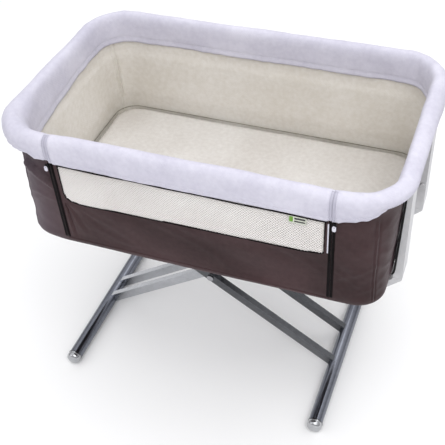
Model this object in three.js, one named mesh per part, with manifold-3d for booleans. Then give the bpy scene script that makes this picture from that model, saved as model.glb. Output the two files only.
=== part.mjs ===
// Bedside bassinet on a folding cross-legged stand. Millimetres, +Z up, front at -Y, floor at Z = 0.
import * as THREE from 'three';
import { mergeVertices } from 'three/addons/utils/BufferGeometryUtils.js';
import Module from 'manifold-3d';

const wasm = await Module();
wasm.setup();

// ---- driving dimensions ----
const RIM_X = 460;            // half length over the trim
const RIM_Y = 280;            // half width over the trim
const RIM_R = 115;            // corner radius over the trim
const RIM_TOP = 800;          // top of the trim
const TRIM_LOW = 729.5;       // lower edge of the trim skirt
const RAIL_IN = 19;           // rail centre, inwards from the trim outline
const RAIL_Z = 779;
const RAIL_RAD = 12.5;
const TUB_BOTTOM = 492;
const COVER_TOP = 762;
const LINER_TOP = 727;
const CLOTH = 3;              // thickness of the fabric shells
const MATTRESS_TOP = 531;
const ZIP_X = 313.7;          // zip line, both sides of the front panel
const SPLIT = 0.8;            // half gap along each zip
const WINDOW_LOW = 625;
const WINDOW_HIGH = 748;

const STAND_X = -52;          // the crossing sits left of the tub centre
const PIVOT_Z = 249;
const FOOT_Z = 18.2;
const FOOT_DX = 344.3;        // foot tube from the crossing
const TOP_DX = 275;           // upper hinge from the crossing
const TOP_Z = 435;
const FOOT_RAD = 18;
const CAP_RAD = 19;
const FOOT_HALF = 258;
const INNER_Y = 31;
const OUTER_Y = 59;
const BAR_DEEP = 24;
const BAR_THICK = 17;
const BOLT_RAD = 5;
const INNER_TUBE_RAD = 11;
const SLIDE_PIN_RAD = 8;
const SLIDE_TRAVEL = 109;     // how far the pin runs along its slot in a full fold
const RUN_GAP = 0.3;

const HOUSING_Y0 = 90;
const HOUSING_Y1 = 150;
const HOUSING_OUT = 446;
const STRAP_Y0 = 100.6;
const STRAP_Y1 = 139.4;

// ---- solids ----
function toSolid(geometry) {
  const g = geometry.clone();
  g.deleteAttribute('normal');
  g.deleteAttribute('uv');
  const m = mergeVertices(g, 1e-4);
  const solid = new wasm.Manifold(new wasm.Mesh({
    numProp: 3,
    vertProperties: new Float32Array(m.attributes.position.array),
    triVerts: new Uint32Array(m.index.array),
  }));
  return solid;
}

function fromTriangles(points, faces) {
  let volume = 0;
  for (const [a, b, c] of faces) {
    const p = points[a];
    const q = points[b];
    const r = points[c];
    volume += p[0] * (q[1] * r[2] - q[2] * r[1]) - p[1] * (q[0] * r[2] - q[2] * r[0])
      + p[2] * (q[0] * r[1] - q[1] * r[0]);
  }
  const ordered = volume < 0 ? faces.map(([a, b, c]) => [a, c, b]) : faces;
  return new wasm.Manifold(new wasm.Mesh({
    numProp: 3,
    vertProperties: new Float32Array(points.flat()),
    triVerts: new Uint32Array(ordered.flat()),
  }));
}

function box(x0, x1, y0, y1, z0, z1) {
  const g = new THREE.BoxGeometry(x1 - x0, y1 - y0, z1 - z0);
  g.translate((x0 + x1) / 2, (y0 + y1) / 2, (z0 + z1) / 2);
  return toSolid(g);
}

// Polygon in the XZ plane, pushed along Y.
function prismXZ(polygon, y0, y1) {
  const shape = new THREE.Shape(polygon.map(([x, z]) => new THREE.Vector2(x, z)));
  const g = new THREE.ExtrudeGeometry(shape, { depth: y1 - y0, bevelEnabled: false });
  g.rotateX(Math.PI / 2);
  g.translate(0, y1, 0);
  return toSolid(g);
}

// Polygon in the YZ plane, pushed along X.
function prismYZ(polygon, x0, x1) {
  const shape = new THREE.Shape(polygon.map(([y, z]) => new THREE.Vector2(y, z)));
  const g = new THREE.ExtrudeGeometry(shape, { depth: x1 - x0, bevelEnabled: false });
  g.rotateX(Math.PI / 2);
  g.rotateZ(Math.PI / 2);
  g.translate(x0, 0, 0);
  return toSolid(g);
}

// Round bar along Y.
function rodY(radius, x, z, y0, y1, segments = 24) {
  const g = new THREE.CylinderGeometry(radius, radius, y1 - y0, segments);
  g.translate(x, (y0 + y1) / 2, z);
  return toSolid(g);
}

function ringY(outer, inner, x, z, y0, y1, segments = 24) {
  return rodY(outer, x, z, y0, y1, segments).subtract(rodY(inner, x, z, y0 - 1, y1 + 1, segments));
}

function roundedOutline(hx, hy, r, steps = 6) {
  const out = [];
  const centres = [[hx - r, hy - r, 0], [r - hx, hy - r, 1], [r - hx, r - hy, 2], [hx - r, r - hy, 3]];
  for (const [cx, cy, quarter] of centres) {
    for (let i = 0; i <= steps; i += 1) {
      const a = (quarter + i / steps) * Math.PI / 2;
      out.push([cx + r * Math.cos(a), cy + r * Math.sin(a), Math.cos(a), Math.sin(a)]);
    }
  }
  return out;
}

// Stack of rounded rectangles [hx, hy, r, z], closed at both ends.
function loft(rings) {
  const points = [];
  const faces = [];
  const n = roundedOutline(10, 10, 1).length;
  for (const [hx, hy, r, z] of rings) {
    for (const [x, y] of roundedOutline(hx, hy, r)) {
      points.push([x, y, z]);
    }
  }
  for (let k = 0; k + 1 < rings.length; k += 1) {
    for (let i = 0; i < n; i += 1) {
      const a = k * n + i;
      const b = k * n + (i + 1) % n;
      faces.push([a, b, b + n], [a, b + n, a + n]);
    }
  }
  const first = points.push([0, 0, rings[0][3]]) - 1;
  const last = points.push([0, 0, rings[rings.length - 1][3]]) - 1;
  const top = (rings.length - 1) * n;
  for (let i = 0; i < n; i += 1) {
    const j = (i + 1) % n;
    faces.push([first, j, i], [last, top + i, top + j]);
  }
  return fromTriangles(points, faces);
}

// Closed profile of [outwards, z] points carried round the rim outline.
function rimSweep(profile) {
  const path = roundedOutline(RIM_X, RIM_Y, RIM_R, 7);
  const points = [];
  const faces = [];
  const m = profile.length;
  for (const [x, y, nx, ny] of path) {
    for (const [u, z] of profile) {
      points.push([x + nx * u, y + ny * u, z]);
    }
  }
  for (let i = 0; i < path.length; i += 1) {
    const next = (i + 1) % path.length;
    for (let k = 0; k < m; k += 1) {
      const l = (k + 1) % m;
      faces.push([i * m + k, next * m + k, next * m + l], [i * m + k, next * m + l, i * m + l]);
    }
  }
  return fromTriangles(points, faces);
}

function circleProfile(u, z, r, steps) {
  const out = [];
  for (let i = 0; i < steps; i += 1) {
    const a = (i / steps) * Math.PI * 2;
    out.push([u + r * Math.cos(a), z + r * Math.sin(a)]);
  }
  return out;
}

const group = new THREE.Group();

function add(name, solid, colour, roughness, metalness) {
  const raw = solid.getMesh();
  const g = new THREE.BufferGeometry();
  const stride = raw.numProp;
  const xyz = new Float32Array((raw.vertProperties.length / stride) * 3);
  for (let i = 0; i < xyz.length / 3; i += 1) {
    xyz.set(raw.vertProperties.subarray(i * stride, i * stride + 3), i * 3);
  }
  g.setAttribute('position', new THREE.BufferAttribute(xyz, 3));
  g.setIndex(new THREE.BufferAttribute(new Uint32Array(raw.triVerts), 1));
  g.computeVertexNormals();
  const mesh = new THREE.Mesh(g, new THREE.MeshStandardMaterial({ color: colour, roughness, metalness }));
  mesh.name = name;
  group.add(mesh);
}

const TUBE = [0xb9bcc2, 0.35, 0.9];
const DARK_TUBE = [0x8d9096, 0.38, 0.9];
const CAP = [0xc9ccd0, 0.3, 0.4];
const STEEL = [0xb4b6b9, 0.3, 0.95];
const GREY = [0xb8bbbd, 0.45, 0.0];
const BROWN = [0x3d2b30, 0.75, 0.0];
const CREAM = [0xe6e1d2, 0.85, 0.0];
const WHITE = [0xeeecf4, 0.85, 0.0];
const NYLON = [0x1b1a1c, 0.55, 0.0];

// ---- stand ----
function bar(y, side) {
  const foot = [STAND_X - side * FOOT_DX, FOOT_Z];
  const top = [STAND_X + side * TOP_DX, TOP_Z];
  const length = Math.hypot(top[0] - foot[0], top[1] - foot[1]);
  const d = [(top[0] - foot[0]) / length, (top[1] - foot[1]) / length];
  const n = [-d[1], d[0]];
  const at = (along, across) => [foot[0] + d[0] * along + n[0] * across, foot[1] + d[1] * along + n[1] * across];
  const h = BAR_DEEP / 2;
  const end = length + 13;
  const outline = [at(0, -h), at(end, -h), at(end + 6, -h + 6), at(end + 6, h - 6), at(end, h), at(0, h)];
  const topRad = side > 0 ? INNER_TUBE_RAD : SLIDE_PIN_RAD;
  return prismXZ(outline, y - BAR_THICK / 2, y + BAR_THICK / 2)
    .subtract(rodY(FOOT_RAD + RUN_GAP, foot[0], foot[1], y - 20, y + 20, 32))
    .subtract(rodY(topRad + RUN_GAP, top[0], top[1], y - 20, y + 20))
    .subtract(rodY(BOLT_RAD + RUN_GAP, STAND_X, PIVOT_Z, y - 20, y + 20));
}

function footCap(x, sign) {
  const profile = [[0, -20], [16, -20], [16, 0.4], [CAP_RAD, 0.4], [CAP_RAD, 4.5], [CAP_RAD - 1.1, 5.2],
    [CAP_RAD - 1.1, 6.4], [CAP_RAD, 7.1], [CAP_RAD, 11], [17, 15.5], [12.8, 18.4], [6.8, 20.2], [0, 20.8]];
  const g = new THREE.LatheGeometry(profile.map(([r, y]) => new THREE.Vector2(r, y)), 28);
  if (sign < 0) {
    g.rotateX(Math.PI);
  }
  g.translate(x, sign * FOOT_HALF, FOOT_Z);
  return toSolid(g).subtract(box(x - 30, x + 30, -400, 400, -30, 0));
}

function boltAt(sign) {
  const outside = OUTER_Y + BAR_THICK / 2;
  const shank = rodY(BOLT_RAD, STAND_X, PIVOT_Z, INNER_Y - BAR_THICK / 2 - 7, outside + 1, 20);
  const head = rodY(9, STAND_X, PIVOT_Z, outside + 0.4, outside + 4, 20);
  const bolt = shank.add(head);
  return sign > 0 ? bolt : bolt.scale([1, -1, 1]);
}

function mirrorY(solid, sign) {
  return sign > 0 ? solid : solid.scale([1, -1, 1]);
}

for (const [word, side, colour] of [['left', 1, TUBE], ['right', -1, DARK_TUBE]]) {
  const x = STAND_X - side * FOOT_DX;
  add(`${word}_foot_tube`, ringY(FOOT_RAD, 16.4, x, FOOT_Z, -FOOT_HALF, FOOT_HALF, 32), ...colour);
  add(`${word}_foot_cap_front`, footCap(x, -1), ...CAP);
  add(`${word}_foot_cap_rear`, footCap(x, 1), ...CAP);
  const y = side > 0 ? INNER_Y : OUTER_Y;
  const layer = side > 0 ? 'inner' : 'outer';
  add(`${layer}_leg_front`, bar(-y, side), ...colour);
  add(`${layer}_leg_rear`, bar(y, side), ...colour);
}
add('inner_top_tube', ringY(INNER_TUBE_RAD, 9, STAND_X + TOP_DX, TOP_Z, -146, 146), ...TUBE);
add('outer_slide_pin', rodY(SLIDE_PIN_RAD, STAND_X - TOP_DX, TOP_Z, -84, 84), ...STEEL);
for (const [word, sign] of [['front', -1], ['rear', 1]]) {
  add(`pivot_bolt_${word}`, boltAt(sign), ...STEEL);
  const half = BAR_THICK / 2 + 0.5;
  const spacer = ringY(10, BOLT_RAD + RUN_GAP, STAND_X, PIVOT_Z, INNER_Y + half, OUTER_Y - half, 20);
  add(`pivot_spacer_${word}`, mirrorY(spacer, sign), ...NYLON);
  const nut = rodY(8.5, STAND_X, PIVOT_Z, INNER_Y - half - 6, INNER_Y - half, 6)
    .subtract(rodY(BOLT_RAD + RUN_GAP, STAND_X, PIVOT_Z, 0, 40, 20));
  add(`pivot_nut_${word}`, mirrorY(nut, sign), ...STEEL);
}

// ---- end supports: strap in the housing, elbow cover, and hinge or slot bracket below the tub ----
function strapOutline(inner) {
  return [[442, 737], [442, 484], [387, 429], [inner, 429], [inner, 441], [389.1, 441], [435, 486.9], [435, 737]];
}

function rightArm(sign) {
  const x = STAND_X + TOP_DX;
  const strap = prismXZ(strapOutline(x), STRAP_Y0, STRAP_Y1);
  const hub = rodY(INNER_TUBE_RAD + 8, x, TOP_Z, STRAP_Y0, STRAP_Y1);
  const bore = rodY(INNER_TUBE_RAD + RUN_GAP, x, TOP_Z, STRAP_Y0 - 5, STRAP_Y1 + 5);
  const tieHole = rodY(8.3, 372, 435, STRAP_Y0 - 5, STRAP_Y0 + 12);
  return mirrorY(strap.add(hub).subtract(bore).subtract(tieHole), sign);
}

function leftArm(sign) {
  const strap = prismXZ(strapOutline(340), STRAP_Y0, STRAP_Y1).scale([-1, 1, 1]);
  const pin = STAND_X - TOP_DX;
  const web = box(-384, -345, 73, STRAP_Y0 + 2, 451, 457);
  const lug = box(-384, -345, STRAP_Y0, STRAP_Y0 + 10, 440, 457);
  const plate = box(pin - SLIDE_TRAVEL - 12, pin + 22, 72, 80, 416, 457);
  const slot = box(pin - SLIDE_TRAVEL, pin, 60, 90, TOP_Z - SLIDE_PIN_RAD - 0.5, TOP_Z + SLIDE_PIN_RAD + 0.5)
    .add(rodY(SLIDE_PIN_RAD + 0.5, pin, TOP_Z, 60, 90))
    .add(rodY(SLIDE_PIN_RAD + 0.5, pin - SLIDE_TRAVEL, TOP_Z, 60, 90));
  return mirrorY(strap.add(web).add(lug).add(plate).subtract(slot), sign);
}

function elbow(sideX, signY) {
  const outline = [[HOUSING_OUT, 487], [HOUSING_OUT, 484], [445, 481.5], [410, 446.9], [407, 446.4], [398.6, 454.4],
    [399, 456.5], [424.8, 481.8], [424.8, 487]];
  const cut = prismXZ([[442.4, 760], [442.4, 483.83], [380, 421.43], [380, 432.47], [434.6, 487.07], [434.6, 760]],
    STRAP_Y0 - 0.4, STRAP_Y1 + 0.4);
  const body = prismXZ(outline, HOUSING_Y0, HOUSING_Y1).subtract(cut);
  return mirrorY(body, signY).scale([sideX, 1, 1]);
}

function housing(sideX, signY) {
  const outline = [[HOUSING_OUT - 2, 748], [HOUSING_OUT, 744], [HOUSING_OUT, 489.5], [HOUSING_OUT - 2, 487.6],
    [427.2, 487.6], [425.4, 489.5], [431.2, 746], [433, 748]];
  const body = prismXZ(outline, HOUSING_Y0, HOUSING_Y1)
    .subtract(box(434.5, 442.5, STRAP_Y0 - 0.5, STRAP_Y1 + 0.5, 400, 741))
    .subtract(rodY(7.3, 438.5, 560, HOUSING_Y0 - 5, STRAP_Y0 + 1));
  return mirrorY(body, signY).scale([sideX, 1, 1]);
}

function lockButton(sideX, signY) {
  const stem = rodY(3.6, 438.5, 560, HOUSING_Y0 - 1.5, STRAP_Y0 - 4.2, 20);
  return mirrorY(stem.add(rodY(6.9, 438.5, 560, HOUSING_Y0 - 4.5, HOUSING_Y0 + 2.5, 20)), signY).scale([sideX, 1, 1]);
}

for (const [word, sideX] of [['right', 1], ['left', -1]]) {
  for (const [depth, signY] of [['front', -1], ['rear', 1]]) {
    const arm = sideX > 0 ? rightArm(signY) : leftArm(signY);
    add(`${word}_arm_${depth}`, arm, ...DARK_TUBE);
    add(`${word}_elbow_${depth}`, elbow(sideX, signY), ...GREY);
    add(`${word}_housing_${depth}`, housing(sideX, signY), ...GREY);
    add(`${word}_lock_button_${depth}`, lockButton(sideX, signY), ...NYLON);
  }
}
add('right_arm_tie', ringY(8, 6, 372, 435, -STRAP_Y0 - 8, STRAP_Y0 + 8), ...DARK_TUBE);

// ---- tub ----
const FRONT_ZONE = box(-ZIP_X - SPLIT, ZIP_X + SPLIT, -400, -150, 506, 900);
const PANEL_ZONE = box(-ZIP_X + SPLIT, ZIP_X - SPLIT, -400, -150, 507.5, 900);

function coverShell() {
  const t = CLOTH;
  return loft([[404, 250, 45, TUB_BOTTOM], [414, 259, 54, TUB_BOTTOM + 2], [420, 265, 59, TUB_BOTTOM + 8],
    [423, 268, 62, TUB_BOTTOM + 20], [430, 272, 100, COVER_TOP], [430 - t, 272 - t, 100 - t, COVER_TOP],
    [423 - t, 268 - t, 62 - t, TUB_BOTTOM + 20], [417.5, 262.5, 56.4, TUB_BOTTOM + 8],
    [412, 257, 52, TUB_BOTTOM + 4], [403, 249, 44, TUB_BOTTOM + 3]]);
}

function linerShell() {
  const t = CLOTH;
  return loft([[400, 232, 32, 501], [410, 240, 40, 502.5], [416, 245, 46, 512], [421, 248, 80, LINER_TOP],
    [421 - t, 248 - t, 80 - t, LINER_TOP], [416 - t, 245 - t, 46 - t, 512], [408.5, 238.5, 39, 506],
    [400, 232, 32, 504]]);
}

function trimShell() {
  const outline = [[-2, TRIM_LOW], [0, 745], [0, 777], [-4, 791], [-11, 798], [-19, RIM_TOP], [-27, 798], [-34, 791],
    [-38, 777], [-38, TRIM_LOW], [-34.9, TRIM_LOW], [-34.9, 776], [-31.2, 788.4],
    [-25.5, 794.7], [-19, 796.6], [-12.5, 794.7], [-6.8, 788.4], [-3.3, 776], [-3.3, 745], [-5.3, TRIM_LOW]];
  return rimSweep(outline);
}

const rail = rimSweep(circleProfile(-RAIL_IN, RAIL_Z, RAIL_RAD, 14));
const cover = coverShell();
const liner = linerShell();
const trim = trimShell();

function windowZone(grow) {
  const shape = new THREE.Shape();
  const [x0, x1, z0, z1, r] = [-297 - grow, 300 + grow, WINDOW_LOW - grow, WINDOW_HIGH + grow, 32 + grow];
  shape.moveTo(x0, z1);
  shape.lineTo(x0, z0 + r);
  shape.quadraticCurveTo(x0, z0, x0 + r, z0);
  shape.lineTo(x1, z0);
  shape.lineTo(x1, z1);
  const g = new THREE.ExtrudeGeometry(shape, { depth: 100, bevelEnabled: false, curveSegments: 8 });
  g.rotateX(Math.PI / 2);
  g.translate(0, -230, 0);
  return toSolid(g);
}

add('rim_rail', rail.subtract(FRONT_ZONE), ...STEEL);
add('outer_cover', cover.subtract(FRONT_ZONE), ...BROWN);
const tubLiner = liner.subtract(FRONT_ZONE);
const tubTrim = trim.subtract(FRONT_ZONE);
const backZone = (half, low, high) => box(-half, half, 0, 400, low, high);
const endZone = (side, inner, low, high) => box(inner, 600, -400, 400, low, high).scale([side, 1, 1]);
const wallLow = 514;
add('inner_liner_floor', tubLiner.intersect(box(-600, 600, -400, 400, 400, wallLow)), ...CREAM);
add('inner_liner_back', tubLiner.intersect(backZone(340, wallLow + RUN_GAP, 900)), ...CREAM);
add('rim_trim_back', tubTrim.intersect(backZone(345, 600, 900)), ...WHITE);
for (const [word, side] of [['left', -1], ['right', 1]]) {
  const back = box(-600, 600, 0, 400, 400, 900);
  const reach = (inner) => endZone(side, inner, wallLow + RUN_GAP, 900)
    .add(endZone(side, 200, wallLow + RUN_GAP, 900).subtract(back));
  add(`inner_liner_${word}_end`, tubLiner.intersect(reach(340 + RUN_GAP)), ...CREAM);
  add(`rim_trim_${word}_end`, tubTrim.intersect(reach(345 + RUN_GAP)), ...WHITE);
}
add('base_board', loft([[400, 244, 52, 496.5], [400, 244, 52, 500]]), 0x9a8467, 0.7, 0);
add('mattress', loft([[403, 232, 54, 505.5], [408, 237, 59, 508], [409.5, 238.5, 60, 518], [409, 238, 59.5, 526],
  [405, 234, 56, 530], [396, 225, 49, MATTRESS_TOP]]), ...CREAM);

for (const [word, sideX] of [['left', -1], ['right', 1]]) {
  const end = ZIP_X + SPLIT;
  const sleeve = new THREE.CylinderGeometry(14, 14, 20, 20);
  sleeve.rotateZ(Math.PI / 2);
  const bore = new THREE.CylinderGeometry(RAIL_RAD + RUN_GAP, RAIL_RAD + RUN_GAP, 24, 20);
  bore.rotateZ(Math.PI / 2);
  const socket = toSolid(sleeve).subtract(toSolid(bore)).translate([end + 11, -RIM_Y + RAIL_IN, RAIL_Z]);
  add(`rail_socket_${word}`, socket.scale([sideX, 1, 1]), ...NYLON);
  const x0 = end + 0.2;
  const tape = prismYZ([[-268.6, 512.5], [-271.85, 728.6], [-273.3, 728.6], [-270, 512.5]], x0, x0 + 7);
  add(`zip_tape_${word}`, tape.scale([sideX, 1, 1]), ...NYLON);
  const slider = box(x0 + 0.3, x0 + 8.3, -278.2, -274.8, 717, 728.5)
    .add(box(x0 + 2.8, x0 + 5.8, -279.4, -278, 720, 726));
  add(`zip_slider_${word}`, slider.scale([sideX, 1, 1]), ...CAP);
  const pull = box(x0 + 0.3, x0 + 9, -279.8, -278.6, 703, 716)
    .subtract(box(x0 + 2.5, x0 + 6.5, -290, -270, 710.5, 713));
  add(`zip_pull_${word}`, pull.scale([sideX, 1, 1]), ...CAP);
}

// ---- drop-down front, between the zips ----
const frontCover = cover.intersect(PANEL_ZONE);
add('front_rail', rail.intersect(PANEL_ZONE), ...STEEL);
add('front_cover', frontCover.subtract(windowZone(0.25)), ...BROWN);
add('mesh_window', frontCover.intersect(windowZone(-0.25)), ...CREAM);
add('front_liner', liner.intersect(PANEL_ZONE), ...CREAM);
add('front_trim', trim.intersect(PANEL_ZONE), ...WHITE);
add('side_tag', box(225, 262, -274.2, -273, 711, 728), 0xe9e6df, 0.8, 0);

export default group;
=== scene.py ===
"""Looks of a bedside bassinet on a folding cross-legged stand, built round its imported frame."""
import math

import bmesh
import bpy
import numpy as np
from mathutils import Matrix, Vector


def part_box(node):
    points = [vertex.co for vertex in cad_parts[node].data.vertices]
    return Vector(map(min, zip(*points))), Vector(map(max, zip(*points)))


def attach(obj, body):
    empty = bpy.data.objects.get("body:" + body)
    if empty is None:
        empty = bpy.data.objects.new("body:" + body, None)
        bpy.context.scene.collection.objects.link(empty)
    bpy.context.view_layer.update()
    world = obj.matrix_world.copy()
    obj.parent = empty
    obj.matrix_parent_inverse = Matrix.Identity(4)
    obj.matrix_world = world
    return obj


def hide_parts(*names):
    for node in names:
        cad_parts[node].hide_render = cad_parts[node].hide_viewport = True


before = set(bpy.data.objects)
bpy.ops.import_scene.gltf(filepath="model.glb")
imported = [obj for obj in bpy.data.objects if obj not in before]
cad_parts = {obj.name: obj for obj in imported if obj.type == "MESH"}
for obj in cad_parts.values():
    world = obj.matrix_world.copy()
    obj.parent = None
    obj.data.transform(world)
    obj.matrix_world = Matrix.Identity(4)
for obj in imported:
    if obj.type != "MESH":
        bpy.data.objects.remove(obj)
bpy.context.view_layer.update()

# ---- places and sizes, in metres ----
WINDOW_LO, WINDOW_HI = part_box("mesh_window")
MATTRESS_LO, MATTRESS_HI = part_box("mattress")
END_TRIM_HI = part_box("rim_trim_right_end")[1]
RIM_X = END_TRIM_HI.x
RIM_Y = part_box("rim_trim_back")[1].y
RIM_TOP = END_TRIM_HI.z
RIM_CORNER = 0.115
ZIP_GAP = 0.0008
ZIP_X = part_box("front_cover")[1].x + ZIP_GAP
COVER_SIZE = (0.424, 0.268, 0.512, 0.070)
LINER_SIZE = (0.414, 0.243, 0.6, 0.055)
RIM_SIZE = (RIM_X, RIM_Y, RIM_TOP, RIM_CORNER)
RAIL_IN = 0.019
RAIL_Z = 0.779
RAIL_CLEAR = 0.0152
GRID = 0.008
CORNER_GRID = 0.0024
FRONT_GRID = 0.002
TUB_EDGE = ZIP_X - 0.0003
PANEL_EDGE = ZIP_X - ZIP_GAP
FRONT_OF = -0.2
WELD = 0.00002
WINDOW_TOP = 0.7475
SEAM_AT = 0.094
SEAM_HALF_WIDTH = 0.0038
COVER_THICK, LINING_THICK, TRIM_THICK = 0.0016, 0.0018, 0.0018
WRAP_REACH = 0.0130


# ---- number helpers ----
def smooth(low, high, value):
    t = np.clip((np.asarray(value, float) - low) / (high - low), 0.0, 1.0)
    return t * t * (3.0 - 2.0 * t)


def bump_at(value, centre, width):
    return np.exp(-((np.asarray(value, float) - centre) / width) ** 2)


def lattice(cells, seed):
    """One repeatable random number from -1 to 1 for each whole-number cell."""
    x, y, z = (cells[..., k].astype(np.int64) for k in range(3))
    h = (x * 73856093) ^ (y * 19349663) ^ (z * 83492791) ^ (seed * 2654435761)
    h = (h ^ (h >> 13)) * 1274126177
    h = h & 0x7FFFFFFF
    h = h ^ (h >> 16)
    return (h % 100003) / 50001.5 - 1.0


def soft_noise(points, size, seed):
    """Smooth noise from about -1 to 1 over an array of points; size is the feature size on each axis."""
    p = np.asarray(points, float) / np.asarray(size, float)
    cell = np.floor(p)
    f = p - cell
    f = f * f * (3.0 - 2.0 * f)
    total = np.zeros(p.shape[:-1])
    for dx in (0, 1):
        for dy in (0, 1):
            for dz in (0, 1):
                corner = lattice(cell + np.array([dx, dy, dz]), seed)
                weight = ((f[..., 0] if dx else 1 - f[..., 0]) * (f[..., 1] if dy else 1 - f[..., 1])
                          * (f[..., 2] if dz else 1 - f[..., 2]))
                total += corner * weight
    return total


def curve_through(knots, count):
    """Evenly spaced points on a smooth line through the knots."""
    k = np.asarray(knots, float)
    k = np.vstack([2 * k[0] - k[1], k, 2 * k[-1] - k[-2]])
    out = []
    for i in range(1, len(k) - 2):
        t = np.linspace(0, 1, 24, endpoint=False)[:, None]
        a, b, c, d = k[i - 1], k[i], k[i + 1], k[i + 2]
        out.append(0.5 * (2 * b + (c - a) * t + (2 * a - 5 * b + 4 * c - d) * t ** 2
                          + (3 * b - a - 3 * c + d) * t ** 3))
    out = np.vstack(out + [k[-2][None]])
    step = np.r_[0, np.cumsum(np.linalg.norm(np.diff(out, axis=0), axis=1))]
    want = np.linspace(0, step[-1], count)
    return np.stack([np.interp(want, step, out[:, j]) for j in range(k.shape[1])], axis=1)


# ---- the outline of the tub ----
class Outline:
    """Stations round a rounded rectangle whose size and corner radius may change with height."""

    def __init__(self, runs, size):
        share, out = [runs[0][0][0]], [runs[0][1][0]]
        for points, ways in runs:
            share.extend(points[1:])
            out.extend(ways[1:])
        self.share = np.array(share, float)
        self.out = np.array(out, float)
        self.size = size
        place = self.ring(*size)
        self.along = np.r_[0, np.cumsum(np.linalg.norm(np.diff(place, axis=0), axis=1))]

    def ring(self, half_x, half_y, z, radius):
        x = self.share[:, 0] + self.share[:, 1] * (half_x - radius) + self.out[:, 0] * radius
        y = self.share[:, 2] * (half_y - radius) + self.out[:, 1] * radius
        return np.c_[x, y, np.full(len(x), z)]

    def rings(self, profile):
        """profile rows are (half length, half width, height, corner radius)."""
        return np.array([self.ring(*row) for row in profile])

    def swept(self, profile):
        """profile rows are (outwards from the rim, height)."""
        return self.rings([(RIM_X + u, RIM_Y + u, z, RIM_CORNER + u) for u, z in profile])


def straight(a, b, direction, length, step=GRID):
    """A run between two stations, each (fixed x, share of the half length, share of the half width)."""
    count = max(2, int(round(length / step)) + 1)
    return np.linspace(a, b, count), np.tile(direction, (count, 1))


def quarter(side_x, side_y, start, radius):
    count = int(round(radius * math.pi / 2 / CORNER_GRID)) + 1
    angles = np.radians(np.linspace(start, start + 90, count))
    return np.tile((0.0, side_x, side_y), (count, 1)), np.c_[np.cos(angles), np.sin(angles)]


def tub_runs(size, stop):
    half_x, half_y, _, radius = size
    cx, cy = half_x - radius, half_y - radius
    return [straight((stop, 0, -1), (0, 1, -1), (0, -1), cx - stop, FRONT_GRID), quarter(1, -1, -90, radius),
            straight((0, 1, -1), (0, 1, 1), (1, 0), 2 * cy), quarter(1, 1, 0, radius),
            straight((0, 1, 1), (0, -1, 1), (0, 1), 2 * cx), quarter(-1, 1, 90, radius),
            straight((0, -1, 1), (0, -1, -1), (-1, 0), 2 * cy), quarter(-1, -1, 180, radius),
            straight((0, -1, -1), (-stop, 0, -1), (0, -1), cx - stop, FRONT_GRID)]


def tub_outline(size, stop):
    """From the right zip round the back to the left zip, anticlockwise seen from above."""
    return Outline(tub_runs(size, stop), size)


def front_outline(size, stop, step=0.005):
    """The drop-down front between the zips, with closer stations towards its ends."""
    near = stop - 0.03
    return Outline([straight((-stop, 0, -1), (-near, 0, -1), (0, -1), 0.03, FRONT_GRID),
                    straight((-near, 0, -1), (near, 0, -1), (0, -1), 2 * near, step),
                    straight((near, 0, -1), (stop, 0, -1), (0, -1), 0.03, FRONT_GRID)], size)


def whole_outline(size, stop):
    """The tub outline with the front run added, back to the start."""
    return Outline(tub_runs(size, stop) + [straight((-stop, 0, -1), (stop, 0, -1), (0, -1), 2 * stop)], size)


def from_outline(points, half_x, half_y, radius):
    """Distance outside a rounded rectangle, and the outward direction, for each point."""
    x, y = points[..., 0], points[..., 1]
    qx = np.maximum(np.abs(x) - (half_x - radius), 0.0)
    qy = np.maximum(np.abs(y) - (half_y - radius), 0.0)
    reach = np.maximum(np.hypot(qx, qy), 1e-6)
    way = np.stack([np.sign(x) * qx / reach, np.sign(y) * qy / reach, np.zeros_like(x)], axis=-1)
    return reach - radius, way


def keep_outside(points, profile, gap):
    """Pushes points out until they clear a rounded wall by a gap."""
    rows = np.array(sorted(profile, key=lambda row: row[2]))
    size = [np.interp(points[..., 2], rows[:, 2], rows[:, k]) for k in (0, 1, 3)]
    away, way = from_outline(points, *size)
    return points + way * np.clip(gap - away, 0.0, 0.02)[..., None]


def keep_off_rail(points, clear):
    """Holds cloth off the padded rail it is folded over: outer wall out, inner wall in, the top up."""
    rows = np.linspace(0, 1, len(points))[:, None]
    away, way = from_outline(points, RIM_X, RIM_Y, RIM_CORNER)
    across, up = away + RAIL_IN, points[..., 2] - RAIL_Z
    level = np.sqrt(np.maximum(clear ** 2 - up ** 2, 0.0))
    held = np.where(rows < 0.40, np.maximum(across, level), across)
    held = np.where(rows > 0.60, np.minimum(across, -level), held)
    held = np.where(np.abs(up) < clear, held, across)
    reach = np.maximum(np.hypot(held, up), 1e-6)
    lift = np.where((rows >= 0.40) & (rows <= 0.60), np.clip(clear - reach, 0.0, 0.012) / reach, 0.0)
    points = points + way * (held - across + held * lift)[..., None]
    points[..., 2] += up * lift
    return points


def grid_normals(p):
    across = np.gradient(p, axis=1)
    up = np.gradient(p, axis=0)
    n = np.cross(across, up)
    return n / np.maximum(np.linalg.norm(n, axis=2, keepdims=True), 1e-12)


# ---- making meshes ----
def placed(name, data):
    """A new object in the scene, at the origin."""
    obj = bpy.data.objects.new(name, data)
    bpy.context.scene.collection.objects.link(obj)
    return obj


def as_shown(obj):
    """A plain mesh of a piece with its modifiers applied; the modifiers are taken off."""
    graph = bpy.context.evaluated_depsgraph_get()
    mesh = bpy.data.meshes.new_from_object(obj.evaluated_get(graph))
    obj.modifiers.clear()
    return mesh


def swap_mesh(obj, mesh):
    old = obj.data
    obj.data = mesh
    bpy.data.meshes.remove(old)
    return obj


def line_object(name, verts, edges):
    mesh = bpy.data.meshes.new(name)
    mesh.from_pydata([tuple(v) for v in verts], edges, [])
    return placed(name, mesh)


def put_points(obj, points):
    obj.data.vertices.foreach_set("co", points.ravel())
    obj.data.update()


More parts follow.
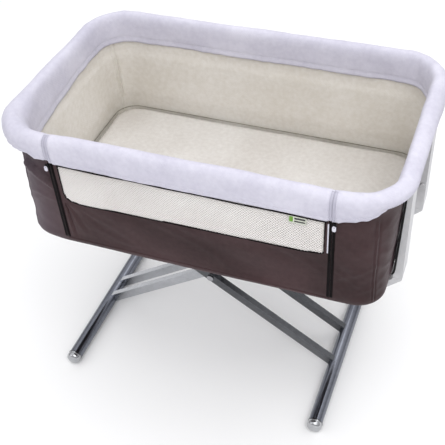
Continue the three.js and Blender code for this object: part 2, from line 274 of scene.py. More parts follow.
def mesh_object(name, verts, faces, uvs=None):
    mesh = bpy.data.meshes.new(name)
    mesh.from_pydata([tuple(v) for v in verts], [], [tuple(f) for f in faces])
    mesh.update()
    if uvs is not None:
        layer = mesh.uv_layers.new(name="cloth")
        index = np.zeros(len(mesh.loops), np.int32)
        mesh.loops.foreach_get("vertex_index", index)
        layer.data.foreach_set("uv", np.asarray(uvs, np.float32)[index].ravel())
    return placed(name, mesh)


def grid_faces(rows, cols, keep=None, wrap=False):
    faces = []
    last = cols if wrap else cols - 1
    for i in range(rows - 1):
        for j in range(last):
            if keep is None or keep(i, j):
                k = (j + 1) % cols
                faces.append((i * cols + j, i * cols + k, (i + 1) * cols + k, (i + 1) * cols + j))
    return faces


def cloth_grid(name, points, thickness, along=None, keep=None, wrap=False, extra=()):
    """A cloth surface from a grid of points, with its own UV in metres and a real thickness."""
    rows, cols = points.shape[:2]
    v = np.r_[0, np.cumsum(np.linalg.norm(np.diff(points[:, cols // 2], axis=0), axis=1))]
    u = along if along is not None else np.r_[
        0, np.cumsum(np.linalg.norm(np.diff(points[rows // 2], axis=0), axis=1))]
    uv = np.stack(np.meshgrid(u, v), axis=-1).reshape(-1, 2)
    obj = mesh_object(name, points.reshape(-1, 3), grid_faces(rows, cols, keep, wrap) + list(extra), uv)
    clean(obj)
    if thickness:
        solid = obj.modifiers.new("cloth thickness", "SOLIDIFY")
        solid.thickness = thickness
        solid.offset = -1.0
    shade(obj, 50)
    return obj


def clean(obj):
    bm = bmesh.new()
    bm.from_mesh(obj.data)
    loose = [v for v in bm.verts if not v.link_faces]
    bmesh.ops.delete(bm, geom=loose, context="VERTS")
    bm.to_mesh(obj.data)
    bm.free()


def shade(obj, degrees):
    """Smooth shading with sharp edges past an angle."""
    mesh = obj.data
    mesh.polygons.foreach_set("use_smooth", np.ones(len(mesh.polygons), bool))
    mesh.set_sharp_from_angle(angle=math.radians(degrees))


def finish_piece(obj, body, material, slot, *nodes):
    obj.data.materials.clear()
    obj.data.materials.append(material)
    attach(obj, body)
    if nodes:
        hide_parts(*nodes)
    return obj


def tube_along(name, points, radius, sides=10, closed=False):
    """A round cord or pipe through points, with closed ends."""
    p = np.asarray(points, float)
    n = len(p)
    ahead = np.roll(p, -1, 0) - np.roll(p, 1, 0)
    if not closed:
        ahead[0], ahead[-1] = p[1] - p[0], p[-1] - p[-2]
    ahead /= np.linalg.norm(ahead, axis=1, keepdims=True)
    up = np.tile([0.0, 0.0, 1.0], (n, 1))
    up[np.abs(ahead[:, 2]) > 0.9] = (0.0, 1.0, 0.0)
    side = np.cross(ahead, up)
    side /= np.linalg.norm(side, axis=1, keepdims=True)
    up = np.cross(side, ahead)
    turn = np.linspace(0, 2 * math.pi, sides, endpoint=False)
    ring = (side[:, None] * np.cos(turn)[None, :, None] + up[:, None] * np.sin(turn)[None, :, None]) * radius
    verts = (p[:, None] + ring).reshape(-1, 3)
    faces = []
    for i in range(n if closed else n - 1):
        k = (i + 1) % n
        for j in range(sides):
            m = (j + 1) % sides
            faces.append((i * sides + j, i * sides + m, k * sides + m, k * sides + j))
    if not closed:
        faces.append(tuple(range(sides - 1, -1, -1)))
        faces.append(tuple((n - 1) * sides + j for j in range(sides)))
    obj = mesh_object(name, verts, faces)
    outward(obj)
    shade(obj, 50)
    return obj


def outward(obj):
    bm = bmesh.new()
    bm.from_mesh(obj.data)
    bmesh.ops.recalc_face_normals(bm, faces=bm.faces)
    bm.to_mesh(obj.data)
    bm.free()


def refined(node, body, material, slot, edge, angle=32):
    """A bench-finished copy of a hard CAD piece: welded, flat faces joined, edges rounded."""
    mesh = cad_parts[node].data.copy()
    obj = placed(f"{node}_finished", mesh)
    bm = bmesh.new()
    bm.from_mesh(mesh)
    bmesh.ops.remove_doubles(bm, verts=bm.verts, dist=WELD)
    bmesh.ops.dissolve_limit(bm, angle_limit=math.radians(1.0), verts=bm.verts, edges=bm.edges)
    bm.to_mesh(mesh)
    bm.free()
    if edge:
        bevel = obj.modifiers.new("rounded edges", "BEVEL")
        bevel.width = edge
        bevel.segments = 3
        bevel.limit_method = "ANGLE"
        bevel.angle_limit = math.radians(angle)
        bevel.use_clamp_overlap = True
        bevel.harden_normals = False
    shade(obj, 40)
    return finish_piece(obj, body, material, slot, node)


# ---- shader node groups ----
def new_group(name, inputs, outputs):
    tree = bpy.data.node_groups.new(name, "ShaderNodeTree")
    for label, kind, value in inputs:
        socket = tree.interface.new_socket(name=label, in_out="INPUT", socket_type=kind)
        if value is not None:
            socket.default_value = value
    for label, kind in outputs:
        tree.interface.new_socket(name=label, in_out="OUTPUT", socket_type=kind)
    return tree, tree.nodes.new("NodeGroupInput"), tree.nodes.new("NodeGroupOutput")


def maths(tree, operation, a, b=None, c=None):
    node = tree.nodes.new("ShaderNodeMath")
    node.operation = operation
    for socket, value in zip(node.inputs, (a, b, c)):
        if value is None:
            continue
        if isinstance(value, (int, float)):
            socket.default_value = value
        else:
            tree.links.new(value, socket)
    return node.outputs[0]


def noise_at(tree, vector, scale, detail=3.0, rough=0.55):
    node = tree.nodes.new("ShaderNodeTexNoise")
    node.inputs["Detail"].default_value = detail
    node.inputs["Roughness"].default_value = rough
    tree.links.new(vector, node.inputs["Vector"])
    if isinstance(scale, (int, float)):
        node.inputs["Scale"].default_value = scale
    else:
        tree.links.new(scale, node.inputs["Scale"])
    return node.outputs["Fac"]


def build_weave():
    """Plain weave: crossing threads, with slubs along each."""
    tree, gin, gout = new_group("plain_weave", [("Vector", "NodeSocketVector", None),
                                                ("Threads per metre", "NodeSocketFloat", 700.0),
                                                ("Slub", "NodeSocketFloat", 0.3)],
                                [("Height", "NodeSocketFloat"), ("Thread", "NodeSocketFloat")])
    split = tree.nodes.new("ShaderNodeSeparateXYZ")
    tree.links.new(gin.outputs["Vector"], split.inputs[0])
    waves = []
    for axis in (0, 1):
        scaled = maths(tree, "MULTIPLY", split.outputs[axis], gin.outputs["Threads per metre"])
        waves.append(maths(tree, "SINE", maths(tree, "MULTIPLY", scaled, math.pi)))
    over = maths(tree, "MULTIPLY", waves[0], waves[1])
    slub = noise_at(tree, gin.outputs["Vector"], 160.0, 2.0)
    slubbed = maths(tree, "MULTIPLY", maths(tree, "SUBTRACT", slub, 0.5), gin.outputs["Slub"])
    height = maths(tree, "ADD", maths(tree, "MULTIPLY_ADD", over, 0.5, 0.5), slubbed)
    tree.links.new(height, gout.inputs["Height"])
    tree.links.new(maths(tree, "ABSOLUTE", over), gout.inputs["Thread"])
    return tree


def build_tone():
    """Slow change of tone over a surface, with a finer mottle."""
    tree, gin, gout = new_group("tone_drift", [("Vector", "NodeSocketVector", None),
                                               ("Size", "NodeSocketFloat", 6.0),
                                               ("Mottle", "NodeSocketFloat", 0.3)],
                                [("Tone", "NodeSocketFloat")])
    broad = noise_at(tree, gin.outputs["Vector"], gin.outputs["Size"], 2.0)
    fine = noise_at(tree, gin.outputs["Vector"], 90.0, 3.0)
    mixed = maths(tree, "MULTIPLY_ADD", maths(tree, "SUBTRACT", fine, 0.5), gin.outputs["Mottle"], broad)
    sharper = maths(tree, "MULTIPLY_ADD", maths(tree, "SUBTRACT", mixed, 0.5), 2.2, 0.5)
    node = tree.nodes.new("ShaderNodeClamp")
    tree.links.new(sharper, node.inputs[0])
    tree.links.new(node.outputs[0], gout.inputs["Tone"])
    return tree


def build_brushed():
    """Fine drawing lines of a metal tube, or the grain of moulded plastic."""
    tree, gin, gout = new_group("surface_grain", [("Vector", "NodeSocketVector", None),
                                                  ("Scale", "NodeSocketFloat", 900.0),
                                                  ("Base", "NodeSocketFloat", 0.3),
                                                  ("Spread", "NodeSocketFloat", 0.15)],
                                [("Roughness", "NodeSocketFloat"), ("Height", "NodeSocketFloat")])
    fine = noise_at(tree, gin.outputs["Vector"], gin.outputs["Scale"], 2.0)
    broad = noise_at(tree, gin.outputs["Vector"], 14.0, 3.0)
    both = maths(tree, "ADD", maths(tree, "MULTIPLY", fine, 0.5), maths(tree, "MULTIPLY", broad, 0.5))
    rough = maths(tree, "MULTIPLY_ADD", maths(tree, "SUBTRACT", both, 0.5), gin.outputs["Spread"],
                  gin.outputs["Base"])
    tree.links.new(rough, gout.inputs["Roughness"])
    tree.links.new(fine, gout.inputs["Height"])
    return tree


WEAVE = build_weave()
TONE = build_tone()
GRAIN = build_brushed()


def group_node(tree, group, vector, **values):
    node = tree.nodes.new("ShaderNodeGroup")
    node.node_tree = group
    tree.links.new(vector, node.inputs["Vector"])
    for label, value in values.items():
        node.inputs[label.replace("_", " ")].default_value = value
    return node


def base_material(name, tint):
    material = bpy.data.materials.new(name)
    material.use_nodes = True
    material.diffuse_color = (*tint, 1.0)
    tree = material.node_tree
    tree.nodes.clear()
    out = tree.nodes.new("ShaderNodeOutputMaterial")
    shader = tree.nodes.new("ShaderNodeBsdfPrincipled")
    tree.links.new(shader.outputs[0], out.inputs[0])
    place = tree.nodes.new("ShaderNodeTexCoord")
    return material, tree, shader, place


def mix_colour(tree, factor, low, high):
    node = tree.nodes.new("ShaderNodeMix")
    node.data_type = "RGBA"
    tree.links.new(factor, node.inputs[0])
    node.inputs[6].default_value = (*low, 1.0)
    node.inputs[7].default_value = (*high, 1.0)
    return node.outputs[2]


def add_bump(tree, shader, height, strength, distance):
    bump = tree.nodes.new("ShaderNodeBump")
    bump.inputs["Strength"].default_value = strength
    bump.inputs["Distance"].default_value = distance
    tree.links.new(height, bump.inputs["Height"])
    tree.links.new(bump.outputs[0], shader.inputs["Normal"])


def cloth(name, low, high, threads=700.0, slub=0.3, depth=0.35, rough=0.85, sheen=0.25,
          sheen_tint=(1, 1, 1), size=6.0, mottle=0.3, on_uv=True, shine=0.2, left_sheen=None):
    material, tree, shader, place = base_material(name, high)
    vector = place.outputs["UV"] if on_uv else place.outputs["Object"]
    tone = group_node(tree, TONE, place.outputs["Object"], Size=size, Mottle=mottle)
    weave = group_node(tree, WEAVE, vector, Threads_per_metre=threads, Slub=slub)
    colour = mix_colour(tree, tone.outputs["Tone"], low, high)
    # painted sheen: towards the left end (x -0.30 to -0.40) the brown is painted a lighter, greyer purple
    if left_sheen:
        left_sheen_ramp = tree.nodes.new("ShaderNodeMapRange")
        left_sheen_ramp.inputs["From Min"].default_value = -0.30
        left_sheen_ramp.inputs["From Max"].default_value = -0.40
        split = tree.nodes.new("ShaderNodeSeparateXYZ")
        tree.links.new(place.outputs["Object"], split.inputs[0])
        tree.links.new(split.outputs[0], left_sheen_ramp.inputs[0])
        left_sheen_colour = mix_colour(tree, tone.outputs["Tone"], *left_sheen)
        blend = tree.nodes.new("ShaderNodeMix")
        blend.data_type = "RGBA"
        tree.links.new(left_sheen_ramp.outputs[0], blend.inputs[0])
        tree.links.new(colour, blend.inputs[6])
        tree.links.new(left_sheen_colour, blend.inputs[7])
        colour = blend.outputs[2]
    tree.links.new(colour, shader.inputs["Base Color"])
    add_bump(tree, shader, weave.outputs["Height"], depth, 0.0004)
    tree.links.new(maths(tree, "MULTIPLY_ADD", weave.outputs["Thread"], 0.08, rough - 0.04),
                   shader.inputs["Roughness"])
    shader.inputs["Sheen Weight"].default_value = sheen
    shader.inputs["Sheen Roughness"].default_value = 0.4
    shader.inputs["Sheen Tint"].default_value = (*sheen_tint, 1.0)
    shader.inputs["Specular IOR Level"].default_value = shine
    return material


def hard(name, low, high, metallic, rough, spread=0.12, scale=900.0, depth=0.06, shine=0.5):
    material, tree, shader, place = base_material(name, high)
    tone = group_node(tree, TONE, place.outputs["Object"], Size=5.0, Mottle=0.5)
    grain = group_node(tree, GRAIN, place.outputs["Object"], Scale=scale, Base=rough, Spread=spread)
    tree.links.new(mix_colour(tree, tone.outputs["Tone"], low, high), shader.inputs["Base Color"])
    tree.links.new(grain.outputs["Roughness"], shader.inputs["Roughness"])
    add_bump(tree, shader, grain.outputs["Height"], depth, 0.0002)
    shader.inputs["Metallic"].default_value = metallic
    shader.inputs["Specular IOR Level"].default_value = shine
    return material


WHITE_COTTON = cloth("white_cotton", (0.505, 0.492, 0.580), (0.610, 0.598, 0.680), threads=300, depth=0.5,
                     sheen=0.12, size=9.0, mottle=0.6)
# darker lavender grey for the strips beside the zips: painted shade of the sunk band there
SUNK_BAND_SHADE = cloth("grey_band", (0.40, 0.39, 0.47), (0.47, 0.46, 0.54), threads=420, depth=0.5, sheen=0.1,
                  size=30.0, mottle=0.5)
WHITE_THREAD = cloth("white_thread", (0.56, 0.55, 0.63), (0.72, 0.71, 0.78), threads=900, depth=0.3,
                     on_uv=False)
CREAM_COTTON = cloth("cream_cotton", (0.640, 0.605, 0.545), (0.735, 0.708, 0.665), threads=280, depth=0.5,
                     sheen=0.12, size=4.0, mottle=0.8)
MATTRESS_COTTON = cloth("mattress_cotton", (0.545, 0.515, 0.480), (0.655, 0.635, 0.605), threads=300,
                        depth=0.5, sheen=0.12, size=4.0, mottle=0.7, on_uv=False)
OLIVE_PIPING = cloth("olive_piping", (0.16, 0.15, 0.115), (0.27, 0.255, 0.205), threads=900, on_uv=False)
# the brown's lighter left end is a painted sheen
BROWN_TAFFETA = cloth("brown_taffeta", (0.020, 0.0090, 0.0095), (0.064, 0.0340, 0.0365), threads=420,
                      slub=0.8, depth=0.4, rough=0.5, sheen=0.05, sheen_tint=(0.85, 0.62, 0.72),
                      size=4.5, mottle=0.25,
                      shine=0.16, left_sheen=((0.055, 0.040, 0.050), (0.110, 0.086, 0.102)))
# black zip tape, also used for painted shadow: the cords along the window's edge and under the front skirt's
# hem
BLACK_TAPE_AND_SHADE = cloth("black_tape_and_shade", (0.004, 0.003, 0.003), (0.012, 0.009, 0.010), threads=900, rough=0.7,
                      sheen=0.0, on_uv=False, shine=0.05)
NET_THREAD = cloth("ivory_net", (0.78, 0.75, 0.735), (0.88, 0.86, 0.845), threads=900, depth=0.2,
                   sheen=0.1, on_uv=False)
NET_BACKING = cloth("ivory_backing", (0.70, 0.675, 0.645), (0.80, 0.78, 0.75), threads=500, depth=0.3,
                    sheen=0.1)
TAG_CLOTH = cloth("tag_cloth", (0.52, 0.54, 0.46), (0.64, 0.66, 0.58), threads=900, on_uv=False)
TAG_GREEN = cloth("tag_green", (0.10, 0.22, 0.03), (0.17, 0.34, 0.06), threads=900, on_uv=False)
TAG_DARK = cloth("tag_dark", (0.03, 0.03, 0.03), (0.07, 0.07, 0.07), threads=900, on_uv=False)
SATIN_TUBE = hard("satin_tube", (0.40, 0.41, 0.43), (0.54, 0.55, 0.58), 1.0, 0.22, spread=0.10)
# the satin metal painted darker: painted shade and painted dark reflection on the outer legs and the arms
SHADED_TUBE = hard("shaded_satin_tube", (0.095, 0.098, 0.105), (0.165, 0.17, 0.18), 1.0, 0.22, spread=0.10)
FOOT_TUBE = hard("foot_tube_steel", (0.125, 0.132, 0.158), (0.215, 0.225, 0.260), 1.0, 0.17, spread=0.08)
SILVER_CAP = hard("silver_cap", (0.36, 0.365, 0.38), (0.52, 0.525, 0.54), 1.0, 0.16)
BRIGHT_STEEL = hard("bright_steel", (0.36, 0.36, 0.38), (0.50, 0.50, 0.52), 1.0, 0.22)
GREY_PLASTIC = hard("grey_plastic", (0.49, 0.49, 0.505), (0.61, 0.61, 0.625), 0.0, 0.42, spread=0.2,
                    scale=1600, depth=0.12)
# black nylon parts, also used for painted shade: the strips in the housing gaps and the lines round the foot
# caps
BLACK_NYLON_AND_SHADE = hard("black_nylon", (0.006, 0.006, 0.0065), (0.013, 0.013, 0.014), 0.0, 0.5, depth=0.15,
                   shine=0.15)
FIBREBOARD = hard("fibreboard", (0.26, 0.18, 0.10), (0.36, 0.27, 0.17), 0.0, 0.75, scale=500, depth=0.3)


# ---- stand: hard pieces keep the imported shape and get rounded, welded copies ----
def dress_hard_pieces():
    plan = [
        ("stand_left", SATIN_TUBE, "satin_tube", 0.0022, ["inner_leg_front", "inner_leg_rear"]),
        ("stand_left", FOOT_TUBE, "satin_tube", 0.0004, ["left_foot_tube", "inner_top_tube"]),
        ("stand_left", SILVER_CAP, "foot_cap", 0.0005, ["left_foot_cap_front", "left_foot_cap_rear"]),
        ("stand_left", BRIGHT_STEEL, "bright_steel", 0.0008,
         ["pivot_bolt_front", "pivot_bolt_rear", "pivot_nut_front", "pivot_nut_rear"]),
        ("stand_left", BLACK_NYLON_AND_SHADE, "black_nylon", 0.0006, ["pivot_spacer_front", "pivot_spacer_rear"]),
        # outer legs and arms get the darker copy of the satin metal: painted shade
        ("stand_right", SHADED_TUBE, "dark_tube", 0.0022, ["outer_leg_front", "outer_leg_rear"]),
        ("stand_right", FOOT_TUBE, "dark_tube", 0.0004, ["right_foot_tube"]),
        ("stand_right", SILVER_CAP, "foot_cap", 0.0005, ["right_foot_cap_front", "right_foot_cap_rear"]),
        ("stand_right", BRIGHT_STEEL, "bright_steel", 0.0008, ["outer_slide_pin"]),
        ("right_end_frame", SHADED_TUBE, "dark_tube", 0.001,
         ["right_arm_front", "right_arm_rear", "right_arm_tie"]),
        ("left_end_frame", SHADED_TUBE, "dark_tube", 0.001, ["left_arm_front", "left_arm_rear"]),
        ("right_end_frame", GREY_PLASTIC, "grey_plastic", 0.0025, ["right_elbow_front", "right_elbow_rear"]),
        ("left_end_frame", GREY_PLASTIC, "grey_plastic", 0.0025, ["left_elbow_front", "left_elbow_rear"]),
        ("tub", GREY_PLASTIC, "grey_plastic", 0.0025,
         ["right_housing_front", "right_housing_rear", "left_housing_front", "left_housing_rear"]),
        ("tub", BLACK_NYLON_AND_SHADE, "black_nylon", 0.0005, ["rail_socket_left", "rail_socket_right"]),
        ("tub", SATIN_TUBE, "rail_tube", 0.0, ["rim_rail"]),
        ("front_panel", SATIN_TUBE, "rail_tube", 0.0, ["front_rail"]),
        ("tub", FIBREBOARD, "board", 0.001, ["base_board"]),
        ("zip_left", BLACK_NYLON_AND_SHADE, "zip_metal", 0.0007, ["zip_slider_left"]),
        ("zip_right", BLACK_NYLON_AND_SHADE, "zip_metal", 0.0007, ["zip_slider_right"]),
        ("button_rf", GREY_PLASTIC, "grey_plastic", 0.001, ["right_lock_button_front"]),
        ("button_rr", GREY_PLASTIC, "grey_plastic", 0.001, ["right_lock_button_rear"]),
        ("button_lf", GREY_PLASTIC, "grey_plastic", 0.001, ["left_lock_button_front"]),
        ("button_lr", GREY_PLASTIC, "grey_plastic", 0.001, ["left_lock_button_rear"]),
    ]
    for body, material, slot, edge, nodes in plan:
        for node in nodes:
            refined(node, body, material, slot, edge)


dress_hard_pieces()


def cap_groove_shades(node, body):
    """Two dark lines turned round a foot cap: painted shade of its two sunk grooves."""
    low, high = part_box(node)
    middle = (low + high) / 2
    facing = 1 if middle.y > 0 else -1
    radius = (high.z - low.z) / 2
    for number, (place, share) in enumerate(((0.2587, 1.0), (0.2668, 0.93))):
        turn = np.linspace(0, 2 * math.pi, 48, endpoint=False)
        circle = np.c_[middle.x + radius * share * np.cos(turn), np.full(48, facing * place),
                       middle.z + radius * share * np.sin(turn)]
        ring = tube_along(f"{node}_line_{number}", circle, 0.0008, 6, closed=True)
        finish_piece(ring, body, BLACK_NYLON_AND_SHADE, "foot_cap")


# painted shade for the grooves on each foot cap
for side, body in (("left", "stand_left"), ("right", "stand_right")):
    for end in ("front", "rear"):
        cap_groove_shades(f"{side}_foot_cap_{end}", body)

# ---- outer cover of the tub ----
COVER_PROFILE = [(0.4040, 0.2500, 0.4920, 0.045), (0.4120, 0.2575, 0.4932, 0.053),
                 (0.4185, 0.2636, 0.4972, 0.058), (0.4215, 0.2665, 0.5030, 0.060),
                 (0.4229, 0.2679, 0.5120, 0.062), (0.4245, 0.2688, 0.5600, 0.070),
                 (0.4268, 0.2702, 0.6400, 0.081), (0.4287, 0.2712, 0.7100, 0.092),
                 (0.4298, 0.2719, 0.7580, 0.100)]
LINER_PROFILE = [(0.4214, 0.2466, 0.7340, 0.077), (0.4210, 0.2455, 0.7000, 0.072),
                 (0.4170, 0.2438, 0.6400, 0.062), (0.4142, 0.2428, 0.5700, 0.051),
                 (0.4128, 0.2420, 0.5150, 0.043), (0.4105, 0.2400, 0.5070, 0.040),
                 (0.4020, 0.2320, 0.5045, 0.032)]
HINGE_Z = 0.5068
CREASE = [(-0.430, 0.700), (-0.377, 0.694), (-0.366, 0.693), (-0.349, 0.683), (-0.315, 0.658)]


def folds_of(points, slope, size, seed):
    """Sharp-ridged folds that run along a slope: (how far x leans with z, feature size, seed)."""
    leaned = points @ np.array([[1, 0, slope], [0, 1, 0], [slope * 1.4, 0.2, 1]])
    n = soft_noise(leaned, size, seed)
    return 1.0 - 2.0 * np.abs(n)


def cover_wrinkles(points, out):
    """Slack of thin taffeta on a stiff frame: long level sags, slanted pulls, gathers in the corners."""
    z = points[..., 2]
    level = smooth(0.50, 0.53, z) * (1 - smooth(0.74, 0.758, z))
    corner = np.minimum(np.abs(out[:, 0]), np.abs(out[:, 1]))[None, :] * 1.4
    d = soft_noise(points, (0.16, 0.16, 0.08), 11) * 0.0030
    d += folds_of(points, 0.7, (0.07, 0.09, 0.035), 12) * 0.0012
    d += folds_of(points, -0.5, (0.05, 0.07, 0.028), 13) * 0.0009
    d += soft_noise(points, (0.018, 0.018, 0.11), 14) * 0.0012 * (0.25 + corner)
    return (d - 0.0028) * (0.15 + 0.85 * level)


def zip_pulls(points):
    """The crease that runs up from the left zip, slack above it and taut below."""
    x, y, z = points[..., 0], points[..., 1], points[..., 2]
    line = np.interp(x, [k[0] for k in CREASE], [k[1] for k in CREASE])
    here = (y < FRONT_OF) * smooth(-0.414, -0.385, x) * (1 - smooth(-0.330, -0.318, x))
    above = smooth(-0.002, 0.005, z - line) * (1 - smooth(0.040, 0.080, z - line))
    below = bump_at(z, line - 0.006, 0.005)
    second = bump_at(z - line, -0.052 + 0.35 * (x + 0.345), 0.006)
    return here * (-0.0125 * above + 0.0050 * below + 0.0016 * second)


def seam_grooves(points, along, side):
    """Two rows of stitching down the upright seam near each front corner."""
    d = np.zeros(points.shape[:2])
    middle = along if side > 0 else along[-1] - along
    for row in range(points.shape[0]):
        for offset in (-SEAM_HALF_WIDTH, SEAM_HALF_WIDTH):
            d[row] -= 0.0018 * bump_at(middle, SEAM_AT + offset, 0.0018)
        d[row] += 0.0014 * bump_at(middle, SEAM_AT, 0.0026)
    return d * (1 - smooth(0.715, 0.735, points[..., 2])) * smooth(0.497, 0.515, points[..., 2])


def base_sag(points):
    """How far the bottom cloth hangs under the board along the long sides."""
    x, z = points[..., 0], points[..., 2]
    amount = 0.0075 * smooth(0.385, 0.33, np.abs(x)) * (0.35 + 0.65 * smooth(0.30, -0.05, x))
    return amount * (1 - smooth(0.494, HINGE_Z, z)) * smooth(0.20, 0.245, np.abs(points[..., 1]))


def tub_cover():
    ring = whole_outline(COVER_SIZE, TUB_EDGE)
    ring.share, ring.out, ring.along = ring.share[:-1], ring.out[:-1], ring.along[:-1]
    tub_cols = len(tub_outline(COVER_SIZE, TUB_EDGE).out)
    low = curve_through(COVER_PROFILE[:5], 9)
    high = curve_through(COVER_PROFILE[4:], 66)
    profile = np.vstack([low, high[1:]])
    profile[np.abs(profile[:, 2] - HINGE_Z).argmin(), 2] = HINGE_Z
    points = ring.rings(profile)
    normal = grid_normals(points)
    normal[:, 0] = normal[:, 1]
    normal[:, -1] = normal[:, -2]
    tub_along = ring.along[:tub_cols]
    seams = np.zeros(points.shape[:2])
    for side in (1, -1):
        seams[:, :tub_cols] += seam_grooves(points[:, :tub_cols], tub_along, side)
    near_zip = np.ones(points.shape[1])
    near_zip[:tub_cols] = smooth(0.0, 0.02, tub_along) * smooth(0.0, 0.02, tub_along[-1] - tub_along)
    shift = cover_wrinkles(points, ring.out) * near_zip[None, :] + seams + zip_pulls(points)
    points = points + normal * np.clip(shift, -0.0140, 0.0022)[..., None]
    points = np.where(points[..., 2:] > 0.515, keep_outside(points, LINER_PROFILE, 0.0050), points)
    points[..., 2] -= base_sag(points)
    z = profile[:, 2]
    cap = tuple(range(points.shape[1] - 1, -1, -1))
    return cloth_grid("tub_cover_cloth", points, COVER_THICK, along=ring.along, wrap=True, extra=[cap],
                      keep=lambda i, j: j < tub_cols - 1 or z[i + 1] <= HINGE_Z + 1e-6)


tub_cloth = finish_piece(tub_cover(), "tub", BROWN_TAFFETA, "brown_fabric", "outer_cover")


def housing_gap_shade(side_x, side_y):
    """A black strip that fills the gap between a lock housing and the cover: painted shade of that gap."""
    rows = []
    for z in np.linspace(0.497, 0.742, 40):
        inside = float(np.interp(z, [p[2] for p in COVER_PROFILE], [p[0] for p in COVER_PROFILE])) + 0.0022
        rows.append([(side_x * (inside + dx), side_y * (0.1503 + lift), z)
                     for dx, lift in ((0.0, 0.0), (0.0004, 0.0014), (0.0044, 0.0014), (0.0048, 0.0))])
    gap_strip = cloth_grid(f"gasket_{side_x}_{side_y}".replace("-1", "m").replace("1", "p"), np.array(rows), 0.0)
    solid = gap_strip.modifiers.new("gap_strip_solid", "SOLIDIFY")
    solid.thickness = 0.0008
    solid.offset = -1.0 if side_x * side_y < 0 else 1.0
    return finish_piece(gap_strip, "tub", BLACK_NYLON_AND_SHADE, "black_nylon")


# painted shade: black strips in the four gaps beside the lock housings
for side_x in (-1, 1):
    for side_y in (-1, 1):
        housing_gap_shade(side_x, side_y)

# ---- drop-down front: cover with its window ----
WINDOW_KNOTS = [(0.0008, 0.096), (0.0008, 0.020), (0.0035, 0.0085), (0.0135, 0.0012), (0.0330, -0.0030),
                (0.0600, -0.0035), (0.1480, -0.0010), (0.3480, 0.0030), (0.5460, 0.0060), (0.5935, 0.0110),
                (0.5940, 0.0150), (0.5945, 0.1225)]


def window_outline(grow):
    """Lower boundary of the window, from its top left round to its top right, as (x, z)."""
    knots = [(WINDOW_LO.x + a, WINDOW_LO.z + b) for a, b in WINDOW_KNOTS]
    knots[0] = (WINDOW_LO.x + 0.0008, WINDOW_TOP)
    round_part = curve_through([(x, 0.0, z) for x, z in knots[1:9]], 44)
    path = np.vstack([[knots[0]], round_part[:, [0, 2]], knots[9:]])
    path[-1, 1] = WINDOW_TOP
    if grow:
        ahead = np.gradient(path, axis=0)
        ahead /= np.linalg.norm(ahead, axis=1, keepdims=True)
        path = path + np.c_[ahead[:, 1], -ahead[:, 0]] * grow
        path[0, 1] = path[-1, 1] = WINDOW_TOP
    return [tuple(map(float, p)) for p in path]


def front_depth(z):
    """Front face of the cover at a height."""
    heights = [p[2] for p in COVER_PROFILE]
    return -np.interp(z, heights, [p[1] for p in COVER_PROFILE])


def cut_with(obj, outline, y0, y1, keep_inside):
    """Cuts a cloth piece with an upright prism through a window outline."""
    n = len(outline)
    verts = [(x, y, z) for y in (y0, y1) for x, z in outline]
    faces = [tuple(range(n)), tuple(range(2 * n - 1, n - 1, -1))]
    faces += [(i, i + n, (i + 1) % n + n, (i + 1) % n) for i in range(n)]
    cutter = mesh_object("cutter", verts, faces)
    outward(cutter)
    boolean = obj.modifiers.new("window", "BOOLEAN")
    boolean.operation = "INTERSECT" if keep_inside else "DIFFERENCE"
    boolean.solver = "EXACT"
    boolean.object = cutter
    swap_mesh(obj, as_shown(obj))
    bpy.data.objects.remove(cutter)
    shade(obj, 50)
    return obj


def panel_points(y_shift, z_low, z_high, step, stop):
    outline = front_outline(COVER_SIZE, stop, step)
    heights = np.linspace(z_low, z_high, int((z_high - z_low) / step) + 1)
    profile = [(0.43, -front_depth(z) + y_shift, z, 0.07) for z in heights]
    return outline, outline.rings(profile)


def front_panel_cover():
    """Front cloth: slack under the window, with folds that fan out from its lower left corner."""
    outline, points = panel_points(0.0, 0.5078, 0.758, 0.005, PANEL_EDGE)
    x, z = points[..., 0], points[..., 2]
    d = soft_noise(points, (0.15, 0.2, 0.06), 21) * 0.0022
    d += folds_of(points, 0.4, (0.11, 0.1, 0.03), 22) * 0.0011
    d += soft_noise(points, (0.024, 0.1, 0.03), 23) * 0.0014 * bump_at(z, WINDOW_LO.z - 0.010, 0.014)
    px, pz = x - (WINDOW_LO.x - 0.004), (WINDOW_LO.z + 0.004) - z
    angle = np.arctan2(px, np.maximum(pz, 1e-4))
    reach = np.hypot(px, pz)
    fan = (pz > 0) * smooth(0.004, 0.02, reach) * (1 - smooth(0.07, 0.13, reach))
    for turn, width, depth in ((0.10, 0.07, 0.0028), (0.46, 0.11, 0.0013), (0.92, 0.10, 0.0008)):
        raised, sunk = bump_at(angle, turn - width, width * 0.8), bump_at(angle, turn, width * 0.6)
        d += fan * depth * (raised - 1.2 * sunk)
    d -= 0.0018
    fade = smooth(0.5078, 0.518, z) * smooth(0.0, 0.012, (ZIP_X - np.abs(x)))
    points[..., 1] -= np.clip(d, -0.0052, 0.0012) * fade
    obj = cloth_grid("front_panel_cloth", points, COVER_THICK, along=outline.along)
    return cut_with(obj, window_outline(0.0), -0.32, -0.22, False)


front_cloth = finish_piece(front_panel_cover(), "front_panel", BROWN_TAFFETA, "brown_fabric", "front_cover")


def window_path(grow, y_shift, step=0.006):
    flat = np.array(window_outline(grow))
    length = np.r_[0, np.cumsum(np.linalg.norm(np.diff(flat, axis=0), axis=1))]
    want = np.linspace(0, length[-1], int(length[-1] / step))
    x = np.interp(want, length, flat[:, 0])
    z = np.interp(want, length, flat[:, 1])
    return np.c_[x, front_depth(z) + y_shift, z]


# painted shadow: a black cord along the window's edge stands for the shadow the net's edge casts on the brown
window_shadow_cord = tube_along("window_edge_shadow", window_path(0.001, 0.0004), 0.0013, 8)
finish_piece(window_shadow_cord, "front_panel", BLACK_TAPE_AND_SHADE, "brown_fabric")


